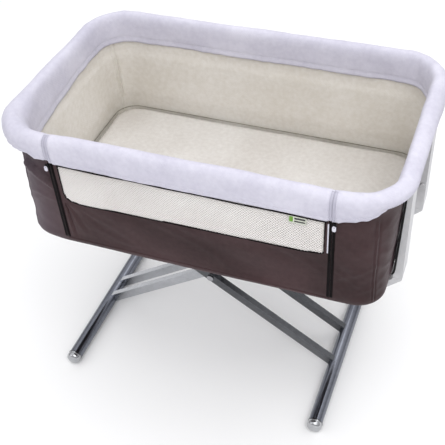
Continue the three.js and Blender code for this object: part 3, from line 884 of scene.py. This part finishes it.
# ---- window net: crossing threads laid by rule ----
def node_tree(name, inputs):
    tree = bpy.data.node_groups.new(name, "GeometryNodeTree")
    tree.interface.new_socket(name="Geometry", in_out="INPUT", socket_type="NodeSocketGeometry")
    for label, kind, value in inputs:
        socket = tree.interface.new_socket(name=label, in_out="INPUT", socket_type=kind)
        if value is not None:
            socket.default_value = value
    tree.interface.new_socket(name="Geometry", in_out="OUTPUT", socket_type="NodeSocketGeometry")
    return tree, tree.nodes.new("NodeGroupInput"), tree.nodes.new("NodeGroupOutput")


def socket_id(tree, label):
    for item in tree.interface.items_tree:
        if item.item_type == "SOCKET" and item.in_out == "INPUT" and item.name == label:
            return item.identifier
    raise KeyError(label)


def end_tree(tree, gout, geometry, material):
    realize = tree.nodes.new("GeometryNodeRealizeInstances")
    paint = tree.nodes.new("GeometryNodeSetMaterial")
    paint.inputs["Material"].default_value = material
    tree.links.new(geometry, realize.inputs[0])
    tree.links.new(realize.outputs[0], paint.inputs["Geometry"])
    tree.links.new(paint.outputs[0], gout.inputs[0])


def baked(obj, tree, values):
    """Runs a node tree on a piece and keeps its result as a plain mesh."""
    modifier = obj.modifiers.new("rule", "NODES")
    modifier.node_group = tree
    for label, value in values.items():
        modifier[socket_id(tree, label)] = value
    return swap_mesh(obj, as_shown(obj))


def thread_tree(material):
    """Each edge of a mesh becomes a round thread."""
    tree, gin, gout = node_tree("net_threads", [("Thread radius", "NodeSocketFloat", 0.0005),
                                                ("Sides", "NodeSocketInt", 4)])
    lines = tree.nodes.new("GeometryNodeMeshToCurve")
    circle = tree.nodes.new("GeometryNodeCurvePrimitiveCircle")
    sweep = tree.nodes.new("GeometryNodeCurveToMesh")
    tree.links.new(gin.outputs["Geometry"], lines.inputs[0])
    tree.links.new(gin.outputs["Thread radius"], circle.inputs["Radius"])
    tree.links.new(gin.outputs["Sides"], circle.inputs["Resolution"])
    tree.links.new(lines.outputs[0], sweep.inputs["Curve"])
    tree.links.new(circle.outputs[0], sweep.inputs["Profile Curve"])
    sweep.inputs["Fill Caps"].default_value = True
    end_tree(tree, gout, sweep.outputs[0], material)
    return tree


def inside_window(x, z, grow=0.0):
    flat = np.array(window_outline(grow))
    low = np.interp(x, flat[1:-1, 0], flat[1:-1, 1])
    return (z > low) & (x > flat[0, 0] + grow) & (x < flat[-1, 0]) & (z < flat[-1, 1])


def window_net():
    """Diamond net: zigzag threads that meet at every half cell."""
    cell = 0.0068
    x0, x1 = WINDOW_LO.x - 0.02, WINDOW_HI.x + 0.01
    z0, z1 = WINDOW_LO.z - 0.01, 0.750
    verts, edges, index = [], [], {}

    def corner(i, k):
        if (i, k) not in index:
            x, z = x0 + i * cell / 2, z0 + k * cell / 2
            index[(i, k)] = len(verts)
            verts.append((x, float(front_depth(z)) + 0.0012, z))
        return index[(i, k)]

    for i in range(int((x1 - x0) / cell * 2)):
        for k in range(int((z1 - z0) / cell * 2)):
            ends = ((i, k), (i + 1, k + 1)) if (i + k) % 2 == 0 else ((i + 1, k), (i, k + 1))
            mid = (x0 + (i + 0.5) * cell / 2, z0 + (k + 0.5) * cell / 2)
            if bool(inside_window(mid[0], mid[1], -0.001)):
                edges.append((corner(*ends[0]), corner(*ends[1])))
    obj = baked(line_object("window_net", verts, edges), thread_tree(NET_THREAD),
                {"Thread radius": 0.0009, "Sides": 4})
    outward(obj)
    shade(obj, 60)
    return obj


net = finish_piece(window_net(), "front_panel", NET_THREAD, "mesh_fabric", "mesh_window")


def window_backing():
    outline, points = panel_points(-0.0030, 0.600, 0.757, 0.008, ZIP_X - 0.003)
    points[..., 1] += 0.0006 * soft_noise(points, (0.15, 0.1, 0.1), 31)
    obj = cloth_grid("window_backing", points, 0.0008, along=outline.along)
    return cut_with(obj, window_outline(0.006), -0.32, -0.22, True)


backing = finish_piece(window_backing(), "front_panel", NET_BACKING, "mesh_fabric")

# ---- inner lining ----
DART_PLACES = (36.0, 44.0)


def lining_shift(points, out):
    corner = np.minimum(np.abs(out[:, 0]), np.abs(out[:, 1])) * 1.4
    z = points[..., 2]
    d = soft_noise(points, (0.10, 0.10, 0.18), 41) * 0.0030
    d += folds_of(points, 0.2, (0.045, 0.045, 0.15), 42) * 0.0008 * (0.5 + corner[None, :])
    return d * smooth(0.505, 0.53, z) * (1 - 0.6 * smooth(0.70, 0.738, z)) - 0.0008


def lining(name, outline, darts):
    """One band of quilted cotton, with a double row of dart stitching in each corner."""
    profile = curve_through(LINER_PROFILE, 40)
    points = outline.rings(profile)
    normal = grid_normals(points)
    d = lining_shift(points, outline.out)
    if darts:
        angle = np.degrees(np.arctan2(np.abs(outline.out[:, 1]), np.abs(outline.out[:, 0])))
        for place in DART_PLACES:
            d = d - 0.0042 * bump_at(angle, place, 2.2)[None, :]
        d = d + 0.0024 * bump_at(angle, sum(DART_PLACES) / 2, 2.6)[None, :]
    z = points[..., 2]
    d = d + 0.0032 * smooth(0.54, 0.58, z) * (1 - smooth(0.685, 0.706, z))
    points = points + normal * (np.clip(d, -0.0012, 0.0052))[..., None]
    return cloth_grid(name, points, LINING_THICK, along=outline.along)


LINER_NODES = ["inner_liner_floor", "inner_liner_back", "inner_liner_left_end", "inner_liner_right_end"]
tub_lining = lining("tub_lining", tub_outline(LINER_SIZE, TUB_EDGE), True)
finish_piece(tub_lining, "tub", CREAM_COTTON, "cream_fabric", *LINER_NODES)
front_lining = lining("front_lining", front_outline(LINER_SIZE, PANEL_EDGE), False)
finish_piece(front_lining, "front_panel", CREAM_COTTON, "cream_fabric", "front_liner")

floor_ring = tub_outline(LINER_SIZE, 0.0).ring(0.404, 0.234, 0.5035, 0.034)
floor_middle = np.array([0.0, 0.0, 0.5035])
floor_points = np.array([floor_middle + (floor_ring - floor_middle) * share
                         for share in np.linspace(1.0, 0.02, 14)])
last_ring = tuple(13 * floor_points.shape[1] + k for k in range(floor_points.shape[1]))
lining_floor = cloth_grid("lining_floor", floor_points, 0.0015, wrap=True, extra=[last_ring])
finish_piece(lining_floor, "tub", CREAM_COTTON, "cream_fabric")

# ---- rim trim: a cotton skirt folded over the rail ----
TRIM_PROFILE = [(-0.0055, 0.7295), (-0.0030, 0.7340), (-0.0012, 0.7450), (-0.0006, 0.7620), (-0.0012, 0.7780),
                (-0.0048, 0.7900), (-0.0115, 0.7970), (-0.0195, 0.7996), (-0.0275, 0.7975), (-0.0335, 0.7900),
                (-0.0366, 0.7780), (-0.0378, 0.7600), (-0.0382, 0.7440), (-0.0386, 0.7290)]
TRIM_ROWS = 50
OUTER_HEM = [(0.0, 0.727), (0.005, 0.728), (0.0225, 0.735), (0.053, 0.744), (0.083, 0.748), (0.107, 0.756),
             (0.137, 0.760), (0.153, 0.7635), (0.175, 0.7655), (0.225, 0.7655), (0.300, 0.752),
             (0.360, 0.738), (0.430, 0.7295)]
OUTER_HEM_LEFT = [(0.0, 0.737), (0.009, 0.739), (0.022, 0.737), (0.034, 0.735), (0.051, 0.748),
                  (0.090, 0.747), (0.130, 0.745), (0.200, 0.741), (0.300, 0.735), (0.430, 0.7295)]
INNER_HEM_LEFT = [(0.0, 0.729), (0.10, 0.716), (0.20, 0.705), (0.27, 0.706),
                  (0.34, 0.716), (0.43, 0.727), (0.50, 0.729)]
INNER_HEM_RIGHT = [(0.0, 0.729), (0.10, 0.722), (0.18, 0.719), (0.26, 0.723), (0.36, 0.729)]


def hem_heights(outline, on_panel, outer):
    """Height of the outer or inner hem at each station."""
    along = outline.along
    if on_panel:
        return np.full(len(along), 0.7295 if outer else 0.729)
    right, left = (OUTER_HEM, OUTER_HEM_LEFT) if outer else (INNER_HEM_RIGHT, INNER_HEM_LEFT)
    high = np.interp(along, *zip(*right))
    low = np.interp(along[-1] - along, *zip(*left))
    share = smooth(-0.02, 0.02, along - along[-1] / 2)
    return high * (1 - share) + low * share


def trim_points(outline, on_panel):
    profile = curve_through(TRIM_PROFILE, TRIM_ROWS)
    points = outline.swept(profile)
    flat_side, along = outline.out, outline.along[None, :]
    rows = np.linspace(0, 1, TRIM_ROWS)[:, None]
    outer = 1 - smooth(0.0, 0.40, rows)
    inner = smooth(0.60, 1.0, rows)
    corner = np.minimum(np.abs(flat_side[:, 0]), np.abs(flat_side[:, 1]))[None, :] * 1.4
    x, y, z = points[..., 0].copy(), points[..., 1].copy(), points[..., 2].copy()
    away = np.concatenate([flat_side, np.zeros((len(flat_side), 1))], axis=1)[None]

    # the skirt is drawn in at the right end and stands off at the left front corner
    right = smooth(0.36, 0.45, x)
    front_left = smooth(-0.34, -0.42, x) * smooth(0.12, -0.16, y)
    inside_corner = smooth(0.30, 0.40, np.abs(x)) * smooth(-0.10, -0.19, y)
    push = -right * (0.0040 * smooth(0.55, 0.32, rows) + 0.0064 * outer ** 1.5 * smooth(0.12, -0.04, y))
    push = push + front_left * 0.0068 * smooth(0.62, 0.30, rows)
    push = push - right * (0.0095 * smooth(0.36, 0.58, rows) - 0.0025 * inner)
    push = push - (1 - right) * inside_corner * 0.0105 * smooth(0.52, 0.72, rows)
    push = push - 0.0042 * inner * np.abs(flat_side[:, 0])[None, :] * (1 - right)
    if on_panel:
        push = push - 0.0042 * inner * smooth(0.25, 0.31, np.abs(x))
    points = points + away * push[..., None]

    # close to the zips the roll sits tight on the rail
    tight = smooth(0.250, 0.300, np.abs(x)) * (1 - smooth(0.33, 0.37, np.abs(x))) * (y < FRONT_OF)
    points[..., 2] -= 0.0034 * tight * bump_at(rows, 0.46, 0.16)

    # the padding is fuller along the back
    points[..., 2] += 0.0050 * smooth(0.10, 0.24, y) * bump_at(rows, 0.46, 0.22)

    # hems
    low = hem_heights(outline, on_panel, True)[None, :] - 0.7295
    points[..., 2] += low * smooth(0.795, 0.7295, z) * (rows < 0.5)
    deep = hem_heights(outline, on_panel, False)[None, :] - 0.729
    points[..., 2] += deep * smooth(0.795, 0.729, z) * (rows >= 0.5)

    normal = grid_normals(points)
    slow = soft_noise(points, (0.11, 0.11, 0.10), 51) * 0.0022
    folds = folds_of(points, 0.25, (0.040, 0.040, 0.075), 52) * 0.0012
    creases = soft_noise(points, (0.016, 0.016, 0.09), 53) * 0.0011
    hem = bump_at(rows, 0.085, 0.016) + bump_at(rows, 0.925, 0.016)
    gather = np.exp(-np.abs(np.abs(x) - ZIP_X) / 0.022) * (y < FRONT_OF)
    if on_panel:
        d = slow * 0.8 + folds * 0.35 + creases * (0.3 * (outer + inner) + 1.2 * gather)
    else:
        ripple = np.sin(along * 2 * math.pi / 0.021 + 2.0 * soft_noise(points, (0.1, 0.1, 0.1), 54))
        d = slow + folds * (0.5 + 0.8 * corner) + creases * (0.4 + outer + inner + corner)
        d = d + (ripple - 1.0) * 0.0010 * corner * outer
    d = d - 0.0013 * hem
    from_zip = np.abs(np.abs(x) - ZIP_X)
    sunk = 0.0026 * (1 - smooth(0.0062, 0.0095, from_zip)) + 0.0016 * bump_at(from_zip, 0.0090, 0.0018)
    d = d - sunk * (y < FRONT_OF) * (1 - 0.85 * bump_at(rows, 0.46, 0.20))
    low_cap = -0.0045 + 0.0032 * bump_at(rows, 0.46, 0.22)
    points = points + normal * np.clip(d - 0.0006, low_cap, 0.0018)[..., None]
    wave = 0.0012 * np.sin(along * 2 * math.pi / 0.083) + 0.0012 * soft_noise(points, (0.03, 0.03, 1.0), 55)
    points[..., 2] += wave * (0.15 if on_panel else 1.0) * outer ** 2 + wave * 0.2 * inner ** 2
    return keep_off_rail(points, RAIL_CLEAR)


TRIM_NODES = ["rim_trim_back", "rim_trim_left_end", "rim_trim_right_end"]
tub_trim_outline = tub_outline(RIM_SIZE, TUB_EDGE)
tub_trim_points = trim_points(tub_trim_outline, False)
tub_trim = cloth_grid("rim_trim_cloth", tub_trim_points, TRIM_THICK, along=tub_trim_outline.along)
finish_piece(tub_trim, "tub", WHITE_COTTON, "white_fabric", *TRIM_NODES)

front_trim_outline = front_outline(RIM_SIZE, PANEL_EDGE, 0.005)
front_trim_points = trim_points(front_trim_outline, True)
front_trim = cloth_grid("front_trim_cloth", front_trim_points, TRIM_THICK, along=front_trim_outline.along)
finish_piece(front_trim, "front_panel", WHITE_COTTON, "white_fabric", "front_trim")


# the cover's own top edge wraps the rail where the skirt is drawn up at the right front corner
wrap_profile = [(-0.0300, 0.7570), (-0.0240, 0.7630)]
for step in range(13):
    turn = math.radians(-100 + 10 * step)
    wrap_profile.append((-RAIL_IN + WRAP_REACH * math.cos(turn), RAIL_Z + WRAP_REACH * math.sin(turn)))
wrap_part = (tub_trim_outline.along > 0.05) & (tub_trim_outline.along < 0.42)
wrap_points = tub_trim_outline.swept(curve_through(wrap_profile, 20))[:, wrap_part]
finish_piece(cloth_grid("rail_wrap", wrap_points, 0.0004), "tub", BROWN_TAFFETA, "brown_fabric")


def zip_bands(name, points, body):
    """Darker strips up the cloth beside each zip, from the hem to the top of the roll: painted shade of the
    sunk band there.
    """
    middle = points[TRIM_ROWS // 4]
    lifted = points + grid_normals(points) * 0.0005
    for side, word in ((-1, "left"), (1, "right")):
        near = (np.abs(middle[:, 0] - side * ZIP_X) < 0.0072) & (middle[:, 1] < FRONT_OF)
        columns = np.where(near)[0]
        strip = cloth_grid(f"{name}_band_{word}", lifted[2:26, columns], 0.0004)
        finish_piece(strip, body, SUNK_BAND_SHADE, "white_fabric")


zip_bands("rim", tub_trim_points, "tub")
zip_bands("front", front_trim_points, "front_panel")

# painted shadow: a dark cord along the gap under the front skirt's hem
hem_shadow_x = np.linspace(-0.296, 0.304, 90)
hem_shadow_z = 0.7280 + 0.0005 * np.sin(hem_shadow_x * 40)
hem_shadow_cord = tube_along("skirt_hem_shadow", np.c_[hem_shadow_x, np.full(90, -0.2745), hem_shadow_z], 0.0016, 8)
finish_piece(hem_shadow_cord, "front_panel", BLACK_TAPE_AND_SHADE, "brown_fabric")


# ---- stitches ----
def tree_along(name, inputs):
    """A node tree that sets copies of a shape along a line, one pitch apart."""
    tree, gin, gout = node_tree(name, inputs)
    curve = tree.nodes.new("GeometryNodeMeshToCurve")
    spaced = tree.nodes.new("GeometryNodeResampleCurve")
    spaced.mode = "LENGTH"
    instance = tree.nodes.new("GeometryNodeInstanceOnPoints")
    tree.links.new(gin.outputs["Geometry"], curve.inputs[0])
    tree.links.new(curve.outputs[0], spaced.inputs["Curve"])
    tree.links.new(gin.outputs["Pitch"], spaced.inputs["Length"])
    tree.links.new(spaced.outputs[0], instance.inputs["Points"])
    return tree, gin, gout, instance


def stitch_tree(material):
    """Rounded stitches laid along each line, half a thread above the cloth."""
    tree, gin, gout, instance = tree_along("stitch_run", [("Pitch", "NodeSocketFloat", 0.005),
                                                          ("Stitch length", "NodeSocketFloat", 0.0036),
                                                          ("Thread radius", "NodeSocketFloat", 0.0004)])
    thread = tree.nodes.new("GeometryNodeMeshCylinder")
    thread.inputs["Vertices"].default_value = 6
    tangent = tree.nodes.new("GeometryNodeInputTangent")
    align = tree.nodes.new("FunctionNodeAlignRotationToVector")
    align.axis = "Z"
    tree.links.new(gin.outputs["Thread radius"], thread.inputs["Radius"])
    tree.links.new(gin.outputs["Stitch length"], thread.inputs["Depth"])
    tree.links.new(thread.outputs[0], instance.inputs["Instance"])
    tree.links.new(tangent.outputs[0], align.inputs["Vector"])
    tree.links.new(align.outputs[0], instance.inputs["Rotation"])
    end_tree(tree, gout, instance.outputs[0], material)
    return tree


def stitched(name, lines, body, material, slot, tree, pitch=0.005):
    verts, edges = [], []
    for line in lines:
        start = len(verts)
        verts.extend(map(tuple, line))
        edges.extend((start + k, start + k + 1) for k in range(len(line) - 1))
    obj = baked(line_object(name, verts, edges), tree,
                {"Pitch": pitch, "Stitch length": pitch * 0.7, "Thread radius": 0.00042})
    shade(obj, 60)
    return finish_piece(obj, body, material, slot)


WHITE_STITCH = stitch_tree(WHITE_THREAD)
STITCH_LIFT = 0.0003
hem_row = int(0.085 * (TRIM_ROWS - 1))
inner_row = int(0.925 * (TRIM_ROWS - 1))


def on_cloth(points, row):
    return points[row] + grid_normals(points)[row] * STITCH_LIFT


for label, body, points in (("rim", "tub", tub_trim_points), ("front", "front_panel", front_trim_points)):
    hems = [on_cloth(points, row) for row in (hem_row, inner_row)]
    stitched(f"{label}_hem_stitches", hems, body, WHITE_THREAD, "white_fabric", WHITE_STITCH)


def upright_line(points, column):
    return points[:, column] + grid_normals(points)[:, column] * STITCH_LIFT


def nearest_column(points, x):
    middle = points[points.shape[0] // 4]
    front = np.where(middle[:, 1] < FRONT_OF, np.abs(middle[:, 0] - x), 9.0)
    return int(front.argmin())


for label, body, points, stop in (("rim", "tub", tub_trim_points, ZIP_X + 0.0085),
                                  ("front", "front_panel", front_trim_points, ZIP_X - 0.0085)):
    lines = [upright_line(points, nearest_column(points, side * stop)) for side in (-1, 1)]
    stitched(f"{label}_end_stitches", lines, body, WHITE_THREAD, "white_fabric", WHITE_STITCH, 0.0045)


# ---- zips ----
def tooth_tree(material):
    """Zip teeth set one by one along a line."""
    inputs = [("Pitch", "NodeSocketFloat", 0.003), ("Tooth", "NodeSocketVector", (0.0016, 0.0016, 0.0018))]
    tree, gin, gout, instance = tree_along("zip_teeth", inputs)
    block = tree.nodes.new("GeometryNodeMeshCube")
    tree.links.new(gin.outputs["Tooth"], block.inputs["Size"])
    tree.links.new(block.outputs[0], instance.inputs["Instance"])
    end_tree(tree, gout, instance.outputs[0], material)
    return tree


ZIP_TEETH = tooth_tree(BLACK_NYLON_AND_SHADE)


def zip_line(x, shift):
    heights = np.linspace(0.511 + shift, 0.7285 + shift, 60)
    return np.c_[np.full(60, x), front_depth(heights) - 0.0005, heights]


def upright_strip(name, middle, half_width, shift, heights, thickness):
    """A narrow tape laid up the front face."""
    rows = [[(middle + dx, float(front_depth(z)) + shift, z) for dx in (-half_width, 0.0, half_width)]
            for z in heights]
    return cloth_grid(name, np.array(rows), thickness)


for side, word in ((-1, "left"), (1, "right")):
    for owner, offset, shift, body in (("tub", 0.0016, 0.0, "tub"),
                                       ("panel", -0.0016, 0.0015, "front_panel")):
        verts = zip_line(side * (ZIP_X + offset), shift)
        edges = [(k, k + 1) for k in range(len(verts) - 1)]
        teeth = line_object(f"zip_teeth_{word}_{owner}", verts, edges)
        teeth = baked(teeth, ZIP_TEETH, {"Pitch": 0.003, "Tooth": (0.0014, 0.0020, 0.0017)})
        finish_piece(teeth, body, BLACK_NYLON_AND_SHADE, "zip_tape")
    for owner, middle, body, nodes in (("tub", ZIP_X + 0.0038, "tub", [f"zip_tape_{word}"]),
                                       ("panel", ZIP_X - 0.0040, "front_panel", [])):
        tape = upright_strip(f"zip_tape_{word}_{owner}", side * middle, 0.0027, -0.0005,
                             np.linspace(0.5085, 0.7285, 70), 0.0007)
        finish_piece(tape, body, BLACK_TAPE_AND_SHADE, "zip_tape", *nodes)


def pull_tab(word, side):
    """A short white tab with a round hole, hung on the slider under the hem."""
    middle = side * (ZIP_X + 0.0056)
    turns = np.linspace(0, 2 * math.pi, 32, endpoint=False)
    edge = [(0.0040 * math.copysign(abs(math.cos(a)) ** 0.6, math.cos(a)),
             0.0066 * math.copysign(abs(math.sin(a)) ** 0.6, math.sin(a))) for a in turns]
    hole = [(0.0013 * math.cos(a), 0.0034 + 0.0013 * math.sin(a)) for a in turns]
    verts = [(middle + x, y, 0.7195 + z) for y in (-0.2816, -0.2803) for x, z in edge + hole]
    faces = []
    for k in range(32):
        m = (k + 1) % 32
        faces += [(k, m, 32 + m, 32 + k), (64 + k, 96 + k, 96 + m, 64 + m), (k, 64 + k, 64 + m, m),
                  (32 + k, 32 + m, 96 + m, 96 + k)]
    tab = mesh_object(f"zip_pull_{word}_tab", verts, faces)
    outward(tab)
    shade(tab, 40)
    finish_piece(tab, f"zip_{word}", WHITE_THREAD, "zip_metal", f"zip_pull_{word}")


pull_tab("left", -1)
pull_tab("right", 1)

# a narrow white ribbon lies down the window side of the right zip
ribbon = upright_strip("window_ribbon", ZIP_X - 0.0078, 0.0014, -0.0012,
                       np.linspace(0.641, 0.722, 40), 0.0006)
finish_piece(ribbon, "front_panel", WHITE_THREAD, "white_fabric")

# ---- tag ----
tag_lo, tag_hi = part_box("side_tag")


def tag_sheet(name, lift, xs, zs, thickness, material, *nodes):
    """Cloth that follows the curl of the tag, a lift in front of it."""
    rows = []
    for z in zs:
        curl = 0.0016 * float(smooth(tag_hi.z, tag_lo.z, z)) ** 2
        rows.append([(x, tag_lo.y - lift - curl * (0.7 + 0.3 * math.cos(40 * (x - tag_lo.x))), z)
                     for x in xs])
    finish_piece(cloth_grid(name, np.array(rows), thickness), "front_panel", material, "tag", *nodes)


def tag_patch(name, x0, x1, z0, z1, material):
    """A plain woven block raised on the tag."""
    tag_sheet(name, 0.0006, np.linspace(x0, x1, 8), np.linspace(z0, z1, 6), 0.0004, material)


tag_sheet("side_tag_cloth", 0.0002, np.linspace(tag_lo.x, tag_hi.x, 12),
          np.linspace(tag_lo.z - 0.002, tag_hi.z, 14), 0.0007, TAG_CLOTH, "side_tag")
tag_patch("tag_green_block", tag_lo.x + 0.002, tag_lo.x + 0.0095, tag_lo.z + 0.001, tag_hi.z - 0.004,
          TAG_GREEN)
for number, (z0, z1) in enumerate(((0.0015, 0.0045), (0.0075, 0.0115))):
    tag_patch(f"tag_dark_bar_{number}", tag_lo.x + 0.0125, tag_hi.x - 0.002, tag_lo.z + z0, tag_lo.z + z1,
              TAG_DARK)


# ---- mattress: foam pad in a cotton cover, blown up by cloth simulation ----
def simulate_pad(obj, frames=20, cap=0.006, pressure=4.0):
    start = np.array([v.co[:] for v in obj.data.vertices])
    modifier = obj.modifiers.new("cloth", "CLOTH")
    settings = modifier.settings
    settings.use_pressure = True
    settings.uniform_pressure_force = pressure
    settings.tension_stiffness = 40
    settings.compression_stiffness = 40
    settings.shear_stiffness = 20
    settings.bending_stiffness = 6
    settings.effector_weights.gravity = 0.0
    settings.quality = 4
    modifier.collision_settings.use_collision = False
    scene = bpy.context.scene
    modifier.point_cache.frame_start = 1
    modifier.point_cache.frame_end = frames
    for number in range(1, frames + 1):
        scene.frame_set(number)
    graph = bpy.context.evaluated_depsgraph_get()
    mesh = obj.evaluated_get(graph).to_mesh()
    moved = np.array([v.co[:] for v in mesh.vertices])
    obj.evaluated_get(graph).to_mesh_clear()
    obj.modifiers.remove(modifier)
    scene.frame_set(1)
    step = moved - start
    length = np.linalg.norm(step, axis=1, keepdims=True)
    step *= np.minimum(1.0, cap / np.maximum(length, 1e-9))
    put_points(obj, start + step)


def mattress_pad():
    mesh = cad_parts["mattress"].data.copy()
    obj = placed("mattress_pad", mesh)
    bm = bmesh.new()
    bm.from_mesh(mesh)
    bmesh.ops.remove_doubles(bm, verts=bm.verts, dist=WELD)
    centre = Vector((0, 0, (MATTRESS_LO.z + MATTRESS_HI.z) / 2))
    for v in bm.verts:
        v.co = Vector((v.co.x * 0.995, v.co.y * 0.992, centre.z + (v.co.z - centre.z) * 0.88))
    bm.to_mesh(mesh)
    bm.free()
    remesh = obj.modifiers.new("voxels", "REMESH")
    remesh.mode = "VOXEL"
    remesh.voxel_size = 0.0065
    remesh.use_smooth_shade = True
    swap_mesh(obj, as_shown(obj))
    simulate_pad(obj)
    points = np.array([v.co[:] for v in obj.data.vertices])
    top = smooth(0.522, 0.529, points[:, 2])
    points[:, 2] += top * (0.0011 * soft_noise(points, (0.12, 0.12, 0.1), 61)
                           + 0.0005 * soft_noise(points, (0.035, 0.035, 0.1), 62))
    points[:, 2] = np.minimum(points[:, 2], MATTRESS_HI.z + 0.0015)
    points[:, 2] = np.maximum(points[:, 2], MATTRESS_LO.z)
    points[:, 0] = np.clip(points[:, 0], MATTRESS_LO.x, MATTRESS_HI.x)
    points[:, 1] = np.clip(points[:, 1], MATTRESS_LO.y, MATTRESS_HI.y)
    put_points(obj, points)
    shade(obj, 60)
    return obj


pad = mattress_pad()
finish_piece(pad, "mattress_pad", MATTRESS_COTTON, "mattress_fabric", "mattress")

pad_ring = tub_outline((0.409, 0.238, 0.53, 0.054), 0.0)
edge_points = pad_ring.ring(MATTRESS_HI.x - 0.0008, MATTRESS_HI.y - 0.0008, 0.5292, 0.054)[:-1]
edge_points[:, 2] += 0.0006 * soft_noise(edge_points, (0.1, 0.1, 0.1), 63)
pad_piping = tube_along("mattress_piping", edge_points, 0.0010, 8, closed=True)
finish_piece(pad_piping, "mattress_pad", OLIVE_PIPING, "mattress_fabric")


# ---- studio ----
FLOOR_REACH = 30


def studio():
    floor_mesh = bpy.data.meshes.new("floor")
    corners = [(x * FLOOR_REACH, y * FLOOR_REACH, -0.0005) for x, y in ((-1, -1), (1, -1), (1, 1), (-1, 1))]
    floor_mesh.from_pydata(corners, [], [(0, 1, 2, 3)])
    floor = placed("floor", floor_mesh)
    material, _, shader, _ = base_material("studio_floor", (0.9, 0.9, 0.9))
    shader.inputs["Base Color"].default_value = (0.95, 0.95, 0.95, 1)
    shader.inputs["Roughness"].default_value = 0.9
    floor.data.materials.append(material)

    world = bpy.data.worlds.new("studio")
    bpy.context.scene.world = world
    world.use_nodes = True
    back = world.node_tree.nodes["Background"]
    tree = world.node_tree
    where = tree.nodes.new("ShaderNodeTexCoord")
    split = tree.nodes.new("ShaderNodeSeparateXYZ")
    sky = tree.nodes.new("ShaderNodeValToRGB")
    sky.color_ramp.elements[0].color = (1, 1, 1, 1)
    sky.color_ramp.elements[1].color = (0.98, 0.99, 1.0, 1)
    for place, grey in ((0.03, 1.0), (0.07, 0.50), (0.25, 0.50), (0.75, 0.98)):
        stop = sky.color_ramp.elements.new(place)
        stop.color = (grey, grey, min(1.0, grey * 1.03), 1)
    tree.links.new(where.outputs["Generated"], split.inputs[0])
    tree.links.new(split.outputs[2], sky.inputs[0])
    tree.links.new(sky.outputs[0], back.inputs[0])
    back.inputs[1].default_value = 0.98
    bpy.context.scene.view_settings.view_transform = "Standard"

    def softbox(name, place, aim, size, power):
        data = bpy.data.lights.new(name, "AREA")
        data.shape = "SQUARE"
        data.size = size
        data.energy = power
        obj = placed(name, data)
        obj.location = place
        obj.rotation_euler = (Vector(aim) - Vector(place)).to_track_quat("-Z", "Y").to_euler()

    softbox("key", (0.9, -1.7, 3.0), (0, 0, 0.5), 2.4, 42)
    softbox("top", (0.5, 0.8, 3.6), (0, 0, 0.4), 3.4, 40)
    softbox("fill", (-2.4, -2.2, 1.5), (0, 0, 0.45), 1.6, 7)


def camera():
    focal_px = 827.707
    place = Vector((0.581667, -1.429270, 1.825171))
    yaw, pitch, roll = 0.40752, 0.74433, -0.07104
    ahead = Vector((-math.sin(yaw) * math.cos(pitch), math.cos(yaw) * math.cos(pitch), -math.sin(pitch)))
    right = Vector((math.cos(yaw), math.sin(yaw), 0))
    up = right.cross(ahead)
    side = math.cos(roll) * right + math.sin(roll) * up
    top = -math.sin(roll) * right + math.cos(roll) * up
    data = bpy.data.cameras.new("camera")
    data.sensor_width = 36
    data.lens = focal_px / 445 * 36
    data.clip_start = 0.05
    data.clip_end = 50
    obj = placed("camera", data)
    turn = Matrix((side, top, -ahead)).transposed()
    obj.matrix_world = Matrix.Translation(place) @ turn.to_4x4()
    bpy.context.scene.camera = obj


studio()
camera()
